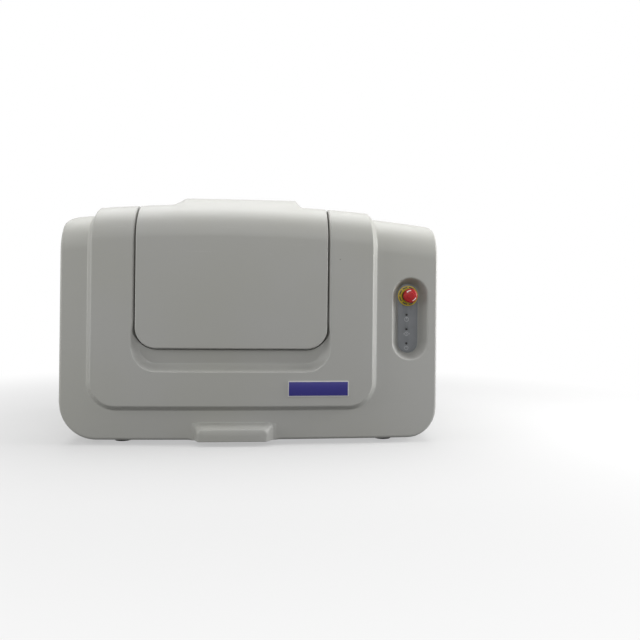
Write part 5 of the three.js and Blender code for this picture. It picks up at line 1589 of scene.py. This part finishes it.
settle(belt_piece("pitch_belt_toothed", 0, (0, PIVOT_Y, PIVOT_Z), 0.180, 0.299), "black_rubber", "pitch_belt")
settle(belt_piece("roll_belt_toothed", 1, (DOOR_X, 0, PIVOT_Z), 0.112, 0.1883), "black_rubber", "roll_belt")
for name in ("pitch_belt", "roll_belt"):
    made = bpy.data.objects[name + "_toothed"]
    print(name, [round(v, 4) for c in (np.array([v.co for v in made.data.vertices]).min(axis=0),
                                       np.array([v.co for v in made.data.vertices]).max(axis=0)) for v in c])

# %% [markdown]
# The gimbal ring is a square tube bent round a rectangle with round corners. A Geometry Nodes tree
# follows that rule: a rectangle, its corners filleted, and a square section carried along it.

# %% Gimbal ring
def ring_nodes(start, given):
    flat = start.new("GeometryNodeCurvePrimitiveQuadrilateral", {"mode": "RECTANGLE"},
                     {"Width": given["Length"], "Height": given["Depth"]})
    bent = start.new("GeometryNodeFilletCurve", {"mode": "POLY"},
                     {"Curve": flat, "Radius": given["Corner radius"], "Count": 12})
    square = start.new("GeometryNodeCurvePrimitiveQuadrilateral", {"mode": "RECTANGLE"},
                       {"Width": given["Tube"], "Height": given["Tube"]})
    eased = start.new("GeometryNodeFilletCurve", {"mode": "POLY"},
                      {"Curve": square, "Radius": given["Edge radius"], "Count": 4})
    return start.new("GeometryNodeCurveToMesh", None, {"Curve": bent, "Profile Curve": eased})


RING_TUBE, RING_LENGTH, RING_DEPTH = 0.026, 0.650, 0.440
ring_tree = grown_tree("bent_tube", {"Length": "Float", "Depth": "Float", "Corner radius": "Float", "Tube": "Float",
                                     "Edge radius": "Float"}, ring_nodes, aluminium)
tube = grown("ring_tube", ring_tree, {"Length": RING_LENGTH - RING_TUBE, "Depth": RING_DEPTH - RING_TUBE,
                                      "Corner radius": 0.017, "Tube": RING_TUBE, "Edge radius": 0.0022})
tube.data.transform(Matrix.Translation((DOOR_X, PIVOT_Y, PIVOT_Z)))


def boss_ring(name, axis, centre, inner, outer, low, high, edge=0.0008):
    """A turned collar with eased edges."""
    return turned_about(name, axis, centre, [
        (inner + edge, low), (outer - edge, low), (outer, low + edge), (outer, high - edge),
        (outer - edge, high), (inner + edge, high), (inner, high - edge), (inner, low + edge)], 56)


bosses = [boss_ring("ring_boss", 1, (DOOR_X, 0, PIVOT_Z), 0.0188, 0.0255, y, y + RING_TUBE)
          for y in (-0.265, 0.149)]
for boss in bosses:
    boss.data.materials.append(aluminium)
settle(joined("gimbal_ring_tube", [tube, *bosses]), "aluminium", "gimbal_ring")

# %% Bearings and trunnions
def bearing_piece(name, node, axis, centre, start):
    """A sealed ball bearing: two steel races and a sunk rubber shield at each face."""
    end = start + 0.012
    outer = turned_about(name, axis, centre, [
        (0.0158, start), (0.0179, start), (0.0185, start + 0.0006), (0.0185, end - 0.0006), (0.0179, end),
        (0.0158, end), (0.0154, end - 0.0008), (0.0154, start + 0.0008)], 64)
    inner = turned_about(name + "_inner", axis, centre, [
        (0.0108, start), (0.0126, start), (0.0130, start + 0.0008), (0.0130, end - 0.0008), (0.0126, end),
        (0.0108, end), (0.0103, end - 0.0006), (0.0103, start + 0.0006)], 64)
    shield = turned_about(name + "_shield", axis, centre, [
        (0.0128, start + 0.0009), (0.0156, start + 0.0009), (0.0156, end - 0.0009), (0.0128, end - 0.0009)], 48)
    for part, paint in ((outer, steel), (inner, steel), (shield, rubber)):
        part.data.materials.append(paint)
    settle(joined(name + "_sealed", [outer, inner, shield]), "steel", node)


def shaft_piece(node, axis, centre, radius=0.010):
    low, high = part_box(node)
    low, high = low[axis], high[axis]
    middle = np.array(centre, float)
    middle[axis] = 0
    piece = turned_about(node + "_turned", axis, tuple(middle), [
        (0, low + 0.0008), (0.0016, low), (radius - 0.001, low), (radius, low + 0.001), (radius, high - 0.001),
        (radius - 0.001, high), (0.0016, high), (0, high - 0.0008)], 48)
    settle(piece, "steel", node)


for side, x in (("left", -0.402), ("right", 0.280)):
    bearing_piece("pitch_bearing_" + side, "pitch_bearing_" + side, 0, (0, PIVOT_Y, PIVOT_Z), x)
    shaft_piece("pitch_trunnion_" + side, 0, (0, PIVOT_Y, PIVOT_Z))
for side, y in (("front", -0.258), ("rear", 0.156)):
    bearing_piece("roll_bearing_" + side, "roll_bearing_" + side, 1, (DOOR_X, 0, PIVOT_Z), y)
    shaft_piece("roll_trunnion_" + side, 1, (DOOR_X, 0, PIVOT_Z))

# %% [markdown]
# Screws hold the hinges, posts, pillars, inlet and bracket. One dome-headed screw with a hexagon
# socket is modelled, and a tree stands a copy on every point along that point's own direction.

# %% Screws
def socket_screw():
    """One screw head of radius 1 along Z, with a hexagon socket sunk in its dome."""
    steps = 24
    turn = np.linspace(0, 2 * math.pi, steps, endpoint=False)
    hexagon = math.cos(math.pi / 6) / np.cos(turn % (math.pi / 3) - math.pi / 6)
    rows = [(1.0, 0.0), (1.0, 0.18), (0.93, 0.36), (0.74, 0.55), (0.56, 0.62)]
    builder = bmesh.new()
    rings = [[builder.verts.new((r * math.cos(a), r * math.sin(a), z)) for a in turn] for r, z in rows]
    rings += [[builder.verts.new((0.46 * h * math.cos(a), 0.46 * h * math.sin(a), z)) for a, h in zip(turn, hexagon)]
              for z in (0.62, 0.20)]
    for a, b in zip(rings, rings[1:]):
        for k in range(steps):
            j = (k + 1) % steps
            builder.faces.new((a[k], a[j], b[j], b[k]))
    builder.faces.new(rings[-1])
    builder.faces.new(rings[0][::-1])
    bmesh.ops.recalc_face_normals(builder, faces=builder.faces)
    return kept("one_screw", builder)


def screw_nodes(start, given):
    aim = start.new("GeometryNodeInputNamedAttribute", {"data_type": "FLOAT_VECTOR"}, {"Name": "aim"})
    turn = start.new("FunctionNodeAlignRotationToVector", {"axis": "Z"}, {"Vector": aim})
    screw = start.new("GeometryNodeObjectInfo", None, {"Object": given["Screw"]}, output=4)
    return start.new("GeometryNodeInstanceOnPoints", None,
                     {"Points": start, "Instance": screw, "Rotation": turn, "Scale": given["Head radius"]})


one_screw = socket_screw()
screw_tree = grown_tree("screws_on_points", {"Screw": "Object", "Head radius": "Float"}, screw_nodes, steel)


def screws(name, body, radius, spots):
    """Screw heads at (place, direction) pairs."""
    points = bpy.data.meshes.new(name)
    points.from_pydata([p for p, _ in spots], [], [])
    aim = points.attributes.new("aim", "FLOAT_VECTOR", "POINT")
    for item, (_, way) in zip(aim.data, spots):
        item.vector = way
    piece = grown(name, screw_tree, {"Screw": one_screw, "Head radius": radius}, points)
    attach(piece, body)


LEAF_TOP = 0.6677
UP, BACKWARD, FORWARD = (0, 0, 1), (0, 1, 0), (0, -1, 0)
for body, ys in (("hood", (0.208, 0.226)), ("base", (0.272, 0.290))):
    screws("hinge_screws_" + body, body, 0.0037, [((x + dx, y, LEAF_TOP), UP)
                                                  for x in (-0.305, 0.195) for dx in (-0.020, 0.020) for y in ys])
post_tops = [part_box(f"door_hinge_{side}")[0].z + 0.0035 for side in ("left", "right")]
screws("post_screws", "hood", 0.0030, [((x + dx, y, top), UP) for x, top in zip((-0.242, 0.148), post_tops)
                                       for dx in (-0.0072, 0.0072) for y in (-0.056, -0.028)])
SOLE_TOP = 0.0233
screws("frame_screws", "base", 0.0050,
       [((x, y, SOLE_TOP), UP) for x in (-0.368, 0.258) for y in (-0.115, -0.045, 0.025)])
screws("inlet_screws", "base", 0.0022, [((-0.300 + dx, 0.3588, 0.110 + dz), BACKWARD)
                                        for dx, dz in ((-0.0305, -0.0245), (-0.0305, 0.0245), (0.0305, -0.0245), (0.0305, 0.0245))])
screws("bracket_screws", frame["nodes"]["roll_drive_bracket"]["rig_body"], 0.0035,
       [((DOOR_X + dx, 0.1813, z), BACKWARD) for dx in (-0.029, 0.029) for z in (0.272, 0.288)]
       + [((DOOR_X + 0.0175 * math.cos(a), 0.1813, ROLL_MOTOR + 0.0175 * math.sin(a)), BACKWARD)
          for a in np.radians((45, 135, 225, 315))])
bpy.data.objects.remove(one_screw)

# %% [markdown]
# ## Frame, drives and back
# The rest of the machine is sheet metal, turned parts and a few moulded blocks.

# %% Pillars
def pillar_piece(side, low, high, sole):
    """A plate that narrows to a round head, on a foot bolted to the pan."""
    base, half, head = 0.0153, 0.085, 0.030
    lean = math.degrees(math.asin((half - head) / (PIVOT_Z - base)) * 0.9)
    outline = np.concatenate([[(PIVOT_Y - half, base)], [(PIVOT_Y + half, base)],
                              arc_points(PIVOT_Y, PIVOT_Z, head, lean, 180 - lean, 40)])
    holes = [circle_loop(PIVOT_Y, PIVOT_Z, 0.0188, 48), circle_loop(PIVOT_Y, 0.190, 0.022, 48)]
    holes.append(circle_loop(PIVOT_Y, 0.130, 0.022, 48) if side == "left"
                 else circle_loop(PIVOT_Y, PITCH_MOTOR, 0.0113, 40))
    web = cut_plate("pillar_web", 0, outline, holes, low, high, 0.0008)
    foot = bevelled_block("pillar_foot", (sole[0], PIVOT_Y - half, base), (sole[1], PIVOT_Y + half, base + 0.008), 0.0008)
    for part in (web, foot):
        part.data.materials.clear()
        part.data.materials.append(aluminium)
    settle(joined(f"pillar_{side}_plate", [web, foot]), "aluminium", "pillar_" + side)


pillar_piece("left", -0.402, -0.390, (-0.3915, -0.356))
pillar_piece("right", 0.280, 0.292, (0.246, 0.2815))
bracket = cut_plate("roll_bracket_plate", 1, round_rectangle(DOOR_X - 0.036, DOOR_X + 0.036, 0.136, 0.304, 0.006),
                    [circle_loop(DOOR_X, PIVOT_Z, 0.013), circle_loop(DOOR_X, ROLL_MOTOR, 0.0113)], 0.1753, 0.1813)
settle(bracket, "zinc_sheet", "roll_drive_bracket")

# %% Motors
def motor_piece(kind, axis, centre, face):
    """A gearbox with a grooved flange, and a ribbed can with a dished end."""
    middle = np.array(centre, float)
    middle[axis] = 0
    back, joint = face - 0.088, face - 0.038
    profile = [(0, back + 0.001), (0.006, back + 0.001), (0.007, back), (0.018, back), (0.020, back + 0.002)]
    for k in range(7):
        at = back + 0.008 + 0.005 * k
        profile += [(0.020, at), (0.0192, at + 0.0006), (0.0192, at + 0.0016), (0.020, at + 0.0022)]
    profile += [(0.020, joint), (0.0222, joint), (0.023, joint + 0.0008), (0.023, face - 0.0085),
                (0.0222, face - 0.0080), (0.0222, face - 0.0065), (0.023, face - 0.0060), (0.023, face - 0.0008),
                (0.0222, face), (0.011, face), (0.011, face + 0.0026), (0.0106, face + 0.003), (0.0043, face + 0.003),
                (0.0043, face - 0.019), (0, face - 0.019)]
    settle(turned_about(kind + "_gearmotor", axis, tuple(middle), profile, 56), "motor_black", kind + "_motor")


motor_piece("pitch", 0, (0, PIVOT_Y, PITCH_MOTOR), 0.2797)
motor_piece("roll", 1, (DOOR_X, 0, ROLL_MOTOR), 0.175)

# %% Hinges
HINGE_Y, HINGE_Z = 0.249, 0.672


def hinge_leaf(side, x, hood_side):
    """A plate folded round the pin in knuckles."""
    way = -1 if hood_side else 1
    plate_ends = sorted((HINGE_Y + way * 0.0095, HINGE_Y + way * 0.052))
    plate = cut_plate("leaf", 2, round_rectangle(x - 0.030, x + 0.030, *plate_ends, 0.004), [], 0.6637, LEAF_TOP, 0.0004)
    spans = [(-0.010, 0.010)] if hood_side else [(-0.030, -0.0106), (0.0106, 0.030)]
    parts = [plate]
    for low, high in spans:
        parts.append(boss_ring("knuckle", 0, (x, HINGE_Y, HINGE_Z), 0.0038, 0.008, low, high, 0.0004))
        webs = sorted((HINGE_Y + way * 0.002, HINGE_Y + way * 0.0115))
        parts.append(bevelled_block("web", (x + low + 0.0003, webs[0], 0.6637), (x + high - 0.0003, webs[1], LEAF_TOP), 0.0003))
    if not hood_side:
        parts.append(turned_about("pin", 0, (x, HINGE_Y, HINGE_Z), [
            (0, -0.0325), (0.0042, -0.0325), (0.005, -0.0317), (0.005, -0.0302), (0.0035, -0.0300),
            (0.0035, 0.0300), (0.005, 0.0302), (0.005, 0.0317), (0.0042, 0.0325), (0, 0.0325)], 40))
    for part in parts:
        part.data.materials.clear()
        part.data.materials.append(zinc)
    name = ("hood" if hood_side else "housing") + "_hinge_leaf_" + side
    settle(joined(name + "_folded", parts), "zinc_sheet", name)


for side, x in (("left", -0.305), ("right", 0.195)):
    hinge_leaf(side, x, True)
    hinge_leaf(side, x, False)
for side in ("left", "right"):
    settle(smoothed_copy("door_hinge_" + side, 0.0005), "zinc_sheet", "door_hinge_" + side)

# %% Pressed pan and tray
def pressed_pan(name, low, high, corner, wall, floor, bend):
    """A pan drawn from sheet: rounded outside and inside, with an eased rim."""
    z0, z1 = low.z, high.z
    rows = []
    for k in range(5):
        a = math.pi / 2 * k / 4
        rows.append((bend * (1 - math.sin(a)), z0 + bend * (1 - math.cos(a))))
    rows += [(0, z1 - 0.0006), (0.0005, z1), (wall - 0.0005, z1), (wall, z1 - 0.0006)]
    inner = max(bend - wall, 0.001)
    for k in range(5):
        a = math.pi / 2 * k / 4
        rows.append((wall + inner * (1 - math.cos(a)), z0 + floor + inner * (1 - math.sin(a))))
    builder = bmesh.new()
    rings = []
    for inset, z in rows:
        loop = round_rectangle(low.x + inset, high.x - inset, low.y + inset, high.y - inset,
                               max(corner - inset, 0.001), 10)
        rings.append([builder.verts.new((x, y, z)) for x, y in loop])
    count = len(rings[0])
    for a, b in zip(rings, rings[1:]):
        for k in range(count):
            j = (k + 1) % count
            builder.faces.new((a[k], a[j], b[j], b[k]))
    builder.faces.new(rings[0])
    builder.faces.new(rings[-1])
    bmesh.ops.recalc_face_normals(builder, faces=builder.faces)
    return sharp_shaded(kept(name, builder), 35)


pan = pressed_pan("base_pan_pressed", *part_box("base_pan"), 0.020, 0.002, 0.003, 0.003)
settle(pan, "zinc_sheet", "base_pan")


def rib_nodes(start, given):
    """Copies of one eased bar stood on a row of points."""
    line = start.new("GeometryNodeMeshLine", {"mode": "END_POINTS"},
                     {"Count": given["Ribs"], "Start Location": given["First"], "Offset": given["Last"]})
    bar = start.new("GeometryNodeCurvePrimitiveQuadrilateral", {"mode": "RECTANGLE"},
                    {"Width": given["Thickness"], "Height": given["Rib height"]})
    eased = start.new("GeometryNodeFilletCurve", {"mode": "POLY"}, {"Curve": bar, "Radius": 0.0008, "Count": 3})
    track = start.new("GeometryNodeCurvePrimitiveLine", None, {"Start": given["Rib start"], "End": given["Rib end"]})
    solid = start.new("GeometryNodeCurveToMesh", None, {"Curve": track, "Profile Curve": eased, "Fill Caps": True})
    return start.new("GeometryNodeInstanceOnPoints", None, {"Points": line, "Instance": solid})


rib_tree = grown_tree("tray_ribs", {"Ribs": "Int", "First": "Vector", "Last": "Vector", "Thickness": "Float",
                                    "Rib height": "Float", "Rib start": "Vector", "Rib end": "Vector"}, rib_nodes, aluminium)
low, high = Vector((-0.335, -0.215, 0.232)), Vector((0.225, 0.125, 0.294))
tray_pan = pressed_pan("tray_pan", low, high, 0.030, 0.003, 0.003, 0.006)
ribs = joined("ribs", [grown("tray_ribs", rib_tree, {
    "Ribs": 2, "First": (first, 0, 0.22825), "Last": (first + 0.095, 0, 0.22825), "Thickness": 0.004,
    "Rib height": 0.0085, "Rib start": (0, low.y + 0.020, 0), "Rib end": (0, high.y - 0.020, 0)})
    for first in (DOOR_X - 0.190, DOOR_X + 0.095)])
bosses = [boss_ring("tray_boss", 1, (DOOR_X, 0, PIVOT_Z), 0.0103, 0.018, y - 0.008, y + 0.008)
          for y in (low.y, high.y)]
for part in (tray_pan, *bosses):
    part.data.materials.append(aluminium)
settle(joined("tray_pressed", [tray_pan, ribs, *bosses]), "aluminium", "tray")

# %% Blocks, ports and feet
for node, slot, width in (("power_supply", "aluminium", 0.0015), ("mains_inlet", "black_plastic", 0.0004),
                          ("power_rocker", "black_plastic", 0.0004), ("bag_clamp_left", "aluminium", 0.0012),
                          ("bag_clamp_right", "aluminium", 0.0012), ("heater_mat", "silicone", 0.0006)):
    settle(smoothed_copy(node, width), slot, node)
for slot in frame["nodes"]["rear_bulkhead"].material_slots:
    slot.material = zinc
for number, x in ((1, -0.190), (2, -0.140)):
    port = turned_about(f"gas_port_{number}_barbed", 1, (x, 0.3563, 0.110), [
        (0.003, -0.014), (0.0074, -0.014), (0.0078, -0.0136), (0.0078, 0), (0.0105, 0), (0.011, 0.0005),
        (0.011, 0.0035), (0.0105, 0.004), (0.0044, 0.004), (0.004, 0.0044), (0.004, 0.0068), (0.0050, 0.0072),
        (0.0050, 0.0075), (0.0041, 0.0094), (0.004, 0.0096), (0.0052, 0.0098), (0.0050, 0.0102), (0.0041, 0.0134),
        (0.0038, 0.0137), (0.003, 0.0137)], 44)
    settle(port, "steel", f"gas_port_{number}")
for number in (1, 2, 3, 4):
    low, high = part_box(f"foot_{number}")
    x, y = (low.x + high.x) / 2, (low.y + high.y) / 2
    foot = turned_about(f"foot_{number}_rubber", 2, (x, y, 0), [
        (0, 0.0014), (0.012, 0.0014), (0.013, 0), (0.0225, 0), (0.0240, 0.0010), (0.0250, 0.0030), (0.0245, 0.0060),
        (0.0225, high.z - 0.0008), (0.0215, high.z), (0, high.z)], 56)
    settle(foot, "black_rubber", f"foot_{number}")
for side, x in (("left", -0.295), ("right", 0.313)):
    low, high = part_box("hood_bumper_" + side)
    bumper = turned_about(f"bumper_{side}_rubber", 2, (x, -0.303, 0), [
        (0, low.z), (0.0084, low.z), (0.009, low.z + 0.0006), (0.009, low.z + 0.0030), (0.0082, low.z + 0.0040),
        (0.0078, high.z - 0.0030), (0.0060, high.z - 0.0007), (0.0030, high.z), (0, high.z)], 40)
    settle(bumper, "black_rubber", "hood_bumper_" + side)
vent = turned_about("vent_filter_moulded", 2, (DOOR_X, PIVOT_Y, 0.3224), [
    (0, 0), (0.0215, 0), (0.022, 0.0005), (0.022, 0.0020), (0.0215, 0.0025), (0.0085, 0.0030), (0.007, 0.0045),
    (0.007, 0.0110), (0.0078, 0.0122), (0.0184, 0.0166), (0.019, 0.0172), (0.019, 0.0195), (0.0186, 0.0200),
    (0.0186, 0.0208), (0.019, 0.0213), (0.019, 0.0236), (0.0184, 0.0243), (0.0075, 0.0288), (0.0052, 0.0298),
    (0.004, 0.0306), (0.004, 0.0396), (0.0036, 0.040), (0, 0.040)], 64)
settle(vent, "white_plastic", "vent_filter")

# %% [markdown]
# ## The culture bag
# The bag is two films welded at the edges and filled, so it lies flat on the mat and domes above.
# A smaller pillow is swelled by a cloth simulation with a little pressure and no gravity, which
# gives the puckered edges that a modelled block lacks.

# %% Culture bag
def pillow(length, depth, height):
    """A closed pillow on a grid: flat below, domed above, thin at its edges."""
    columns, rows = 60, 38
    builder = bmesh.new()
    sheets = []
    for top in (0, 1):
        sheet = []
        for i in range(columns + 1):
            line = []
            for j in range(rows + 1):
                u, v = 2 * i / columns - 1, 2 * j / rows - 1
                rise = math.sqrt(max(0, 1 - abs(u) ** 4)) * math.sqrt(max(0, 1 - abs(v) ** 3))
                edge = i in (0, columns) or j in (0, rows)
                if edge and top:
                    line.append(sheets[0][i][j])
                    continue
                line.append(builder.verts.new((u * length / 2, v * depth / 2,
                                               0.006 + (height * rise if top else -0.005 * rise))))
            sheet.append(line)
        sheets.append(sheet)
        for i in range(columns):
            for j in range(rows):
                builder.faces.new((sheet[i][j], sheet[i + 1][j], sheet[i + 1][j + 1], sheet[i][j + 1]))
    bmesh.ops.recalc_face_normals(builder, faces=builder.faces)
    return kept("culture_bag_film", builder)


BAG_LOW, BAG_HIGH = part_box("culture_bag")
bag_size = BAG_HIGH - BAG_LOW
bag_middle = (BAG_LOW + BAG_HIGH) / 2
bag = pillow(bag_size.x - 0.030, bag_size.y - 0.026, 0.070)
bag.data.transform(Matrix.Translation((bag_middle.x, bag_middle.y, BAG_LOW.z)))


def swelled(piece, voxel=0.006, pressure=0.8, frames=20, cap=0.018):
    """Blow a film form up a little with cloth, and keep each point within `cap` of where it was."""
    remesh = piece.modifiers.new("remesh", "REMESH")
    remesh.mode, remesh.voxel_size = "VOXEL", voxel
    made = bpy.data.meshes.new_from_object(piece.evaluated_get(bpy.context.evaluated_depsgraph_get()))
    piece.modifiers.clear()
    piece.data = made
    rest = np.array([v.co for v in made.vertices])
    cloth = piece.modifiers.new("cloth", "CLOTH")
    settings = cloth.settings
    settings.use_pressure, settings.uniform_pressure_force = True, pressure
    settings.effector_weights.gravity = 0
    settings.quality, settings.mass = 5, 0.2
    settings.tension_stiffness = settings.compression_stiffness = 20
    settings.bending_stiffness = 0.6
    cloth.collision_settings.use_collision = False
    for number in range(1, frames + 1):
        bpy.context.scene.frame_set(number)
    blown = bpy.data.meshes.new_from_object(piece.evaluated_get(bpy.context.evaluated_depsgraph_get()))
    piece.modifiers.clear()
    bpy.context.scene.frame_set(1)
    moved = np.array([v.co for v in blown.vertices]) - rest
    far = np.linalg.norm(moved, axis=1, keepdims=True)
    places = rest + moved * np.minimum(1, cap / np.maximum(far, 1e-9))
    places = np.clip(places, np.array(BAG_LOW) + 0.0004, np.array(BAG_HIGH) - 0.0004)
    blown.vertices.foreach_set("co", places.ravel())
    piece.data = blown
    print("bag swelled", round(float(far.max()) * 1000, 1), "mm at most, share of points capped",
          round(float((far > cap).mean()), 3), "and laid flat on the mat",
          round(float((places[:, 2] <= BAG_LOW.z + 0.0004).mean()), 3), "top at",
          round(float(places[:, 2].max() - BAG_LOW.z) * 1000, 1), "mm")


swelled(bag)
subdivision = bag.modifiers.new("smooth", "SUBSURF")
subdivision.levels = subdivision.render_levels = 1
bag.data = bpy.data.meshes.new_from_object(bag.evaluated_get(bpy.context.evaluated_depsgraph_get()))
bag.modifiers.clear()
bag.data.shade_smooth()

LIQUID_TOP = BAG_LOW.z + 0.046


def film_paint(place):
    _, _, z = place.parts()
    headspace = (z + place.noise(9, 2) * 0.0006).step(LIQUID_TOP, LIQUID_TOP + 0.0012)
    crinkle = place.noise(42, 4, 0.62)
    return {"Base Color": headspace.mix((0.55, 0.20, 0.10), (0.80, 0.83, 0.83)),
            "Alpha": 0.86 - headspace * 0.48 + crinkle * 0.08,
            "Roughness": 0.10 + crinkle * 0.16, "Normal": crinkle.bump(0.0016, 0.8)}


bag_film = finish("bag_film", film_paint)
weld = joined("weld", [cut_plate(f"weld_{k}", 2, round_rectangle(x0, x1, BAG_LOW.y + 0.010, BAG_HIGH.y - 0.010, 0.004), [],
                                 BAG_LOW.z + 0.0040, BAG_LOW.z + 0.0048, 0)
                       for k, (x0, x1) in enumerate(((BAG_LOW.x + 0.0005, BAG_LOW.x + 0.022),
                                                     (BAG_HIGH.x - 0.022, BAG_HIGH.x - 0.0005)))])
for part in (bag, weld):
    part.data.materials.clear()
    part.data.materials.append(bag_film)
bag = joined("culture_bag_filled", [bag, weld])
settle(bag, "bag_film", "culture_bag")

# %% Finishes of the seal
seal.data.materials.append(rubber)

# %% Bodies
for piece, body, slot in ((hood_piece, "hood", "moulding"), (door_piece, "door", "moulding"),
                          (seal, "hood", "black_rubber"), (housing_piece, "base", "moulding")):
    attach(piece, body)
    if slot == "moulding":
        piece.data.materials.clear()
        piece.data.materials.append(moulding)

# %% [markdown]
# ## Studio
# A plain pale floor runs back into a white surround. One broad lamp hangs above and a little
# behind, two stand at the sides to pick out the slopes of the moulding, and a weaker one fills
# from the front. To diffuse light the floor and surround count as grey, so undersides stay dark.

# %% Floor and surround
def seen_by_eye(value):
    """1 for rays from the camera, a reflection or through glass."""
    node = value.new("ShaderNodeLightPath").socket.node
    names = ("Is Camera Ray", "Is Glossy Ray", "Is Transmission Ray")
    camera_ray, glossy, through = [Value(value.tree, node.outputs[n]) for n in names]
    return camera_ray.at_least(glossy).at_least(through)


def floor_finish():
    material = bpy.data.materials.new("pale_floor")
    material.use_nodes = True
    material.node_tree.nodes.clear()
    place = Value(material.node_tree).new("ShaderNodeTexCoord", output="Object")
    eye = seen_by_eye(place)
    x, y, _ = place.parts()
    away = (x * x + y * y).maths("SQRT", x * x + y * y)
    lit = place.new("ShaderNodeBsdfDiffuse", None, {"Color": eye.mix(FLOOR_TO_LIGHT, FLOOR_TO_EYE)})
    white = place.new("ShaderNodeEmission", None, {"Color": (1, 1, 1, 1), "Strength": 1.0})
    far = (0.42 + 0.58 * away.step(0.75, 1.9)) * eye
    both = place.new("ShaderNodeMixShader", None, {0: far, 1: lit, 2: white})
    place.new("ShaderNodeOutputMaterial", None, {"Surface": both})
    return material


FLOOR_TO_EYE, FLOOR_TO_LIGHT = (0.60, 0.60, 0.60), (0.16, 0.16, 0.16)
floor_mesh = bpy.data.meshes.new("floor")
floor_mesh.from_pydata([(-30, -30, 0), (30, -30, 0), (30, 30, 0), (-30, 30, 0)], [], [(0, 1, 2, 3)])
floor = bpy.data.objects.new("floor", floor_mesh)
bpy.context.scene.collection.objects.link(floor)
floor_mesh.materials.append(floor_finish())
world = bpy.data.worlds.new("studio")
bpy.context.scene.world = world
world.use_nodes = True
world.node_tree.nodes.clear()
surround = Value(world.node_tree)
brightness = seen_by_eye(surround) * 0.70 + 0.30
backdrop = surround.new("ShaderNodeBackground", None, {"Color": (1, 1, 1, 1), "Strength": brightness})
surround.new("ShaderNodeOutputWorld", None, {"Surface": backdrop})


# %% Lamps
def soft_lamp(name, place, target, size, power):
    data = bpy.data.lights.new(name, "AREA")
    data.shape, data.size, data.size_y = "RECTANGLE", size[0], size[1]
    data.energy = power
    lamp = bpy.data.objects.new(name, data)
    bpy.context.scene.collection.objects.link(lamp)
    aim = (Vector(target) - Vector(place)).to_track_quat("-Z", "Y")
    lamp.matrix_world = Matrix.Translation(place) @ aim.to_matrix().to_4x4()
    return lamp


soft_lamp("above", (0.0, 0.25, 2.75), (0, -0.1, 0.5), (3.0, 2.2), 71)
soft_lamp("left", (-2.0, -0.85, 0.75), (-0.1, -0.35, 0.4), (0.9, 1.3), 12)
soft_lamp("right", (2.1, -0.35, 0.75), (0.4, -0.35, 0.4), (0.9, 1.3), 36)
soft_lamp("front", (0.2, -3.3, 1.7), (0, -0.3, 0.35), (2.6, 1.6), 26)
bpy.context.scene.view_settings.view_transform = "Standard"
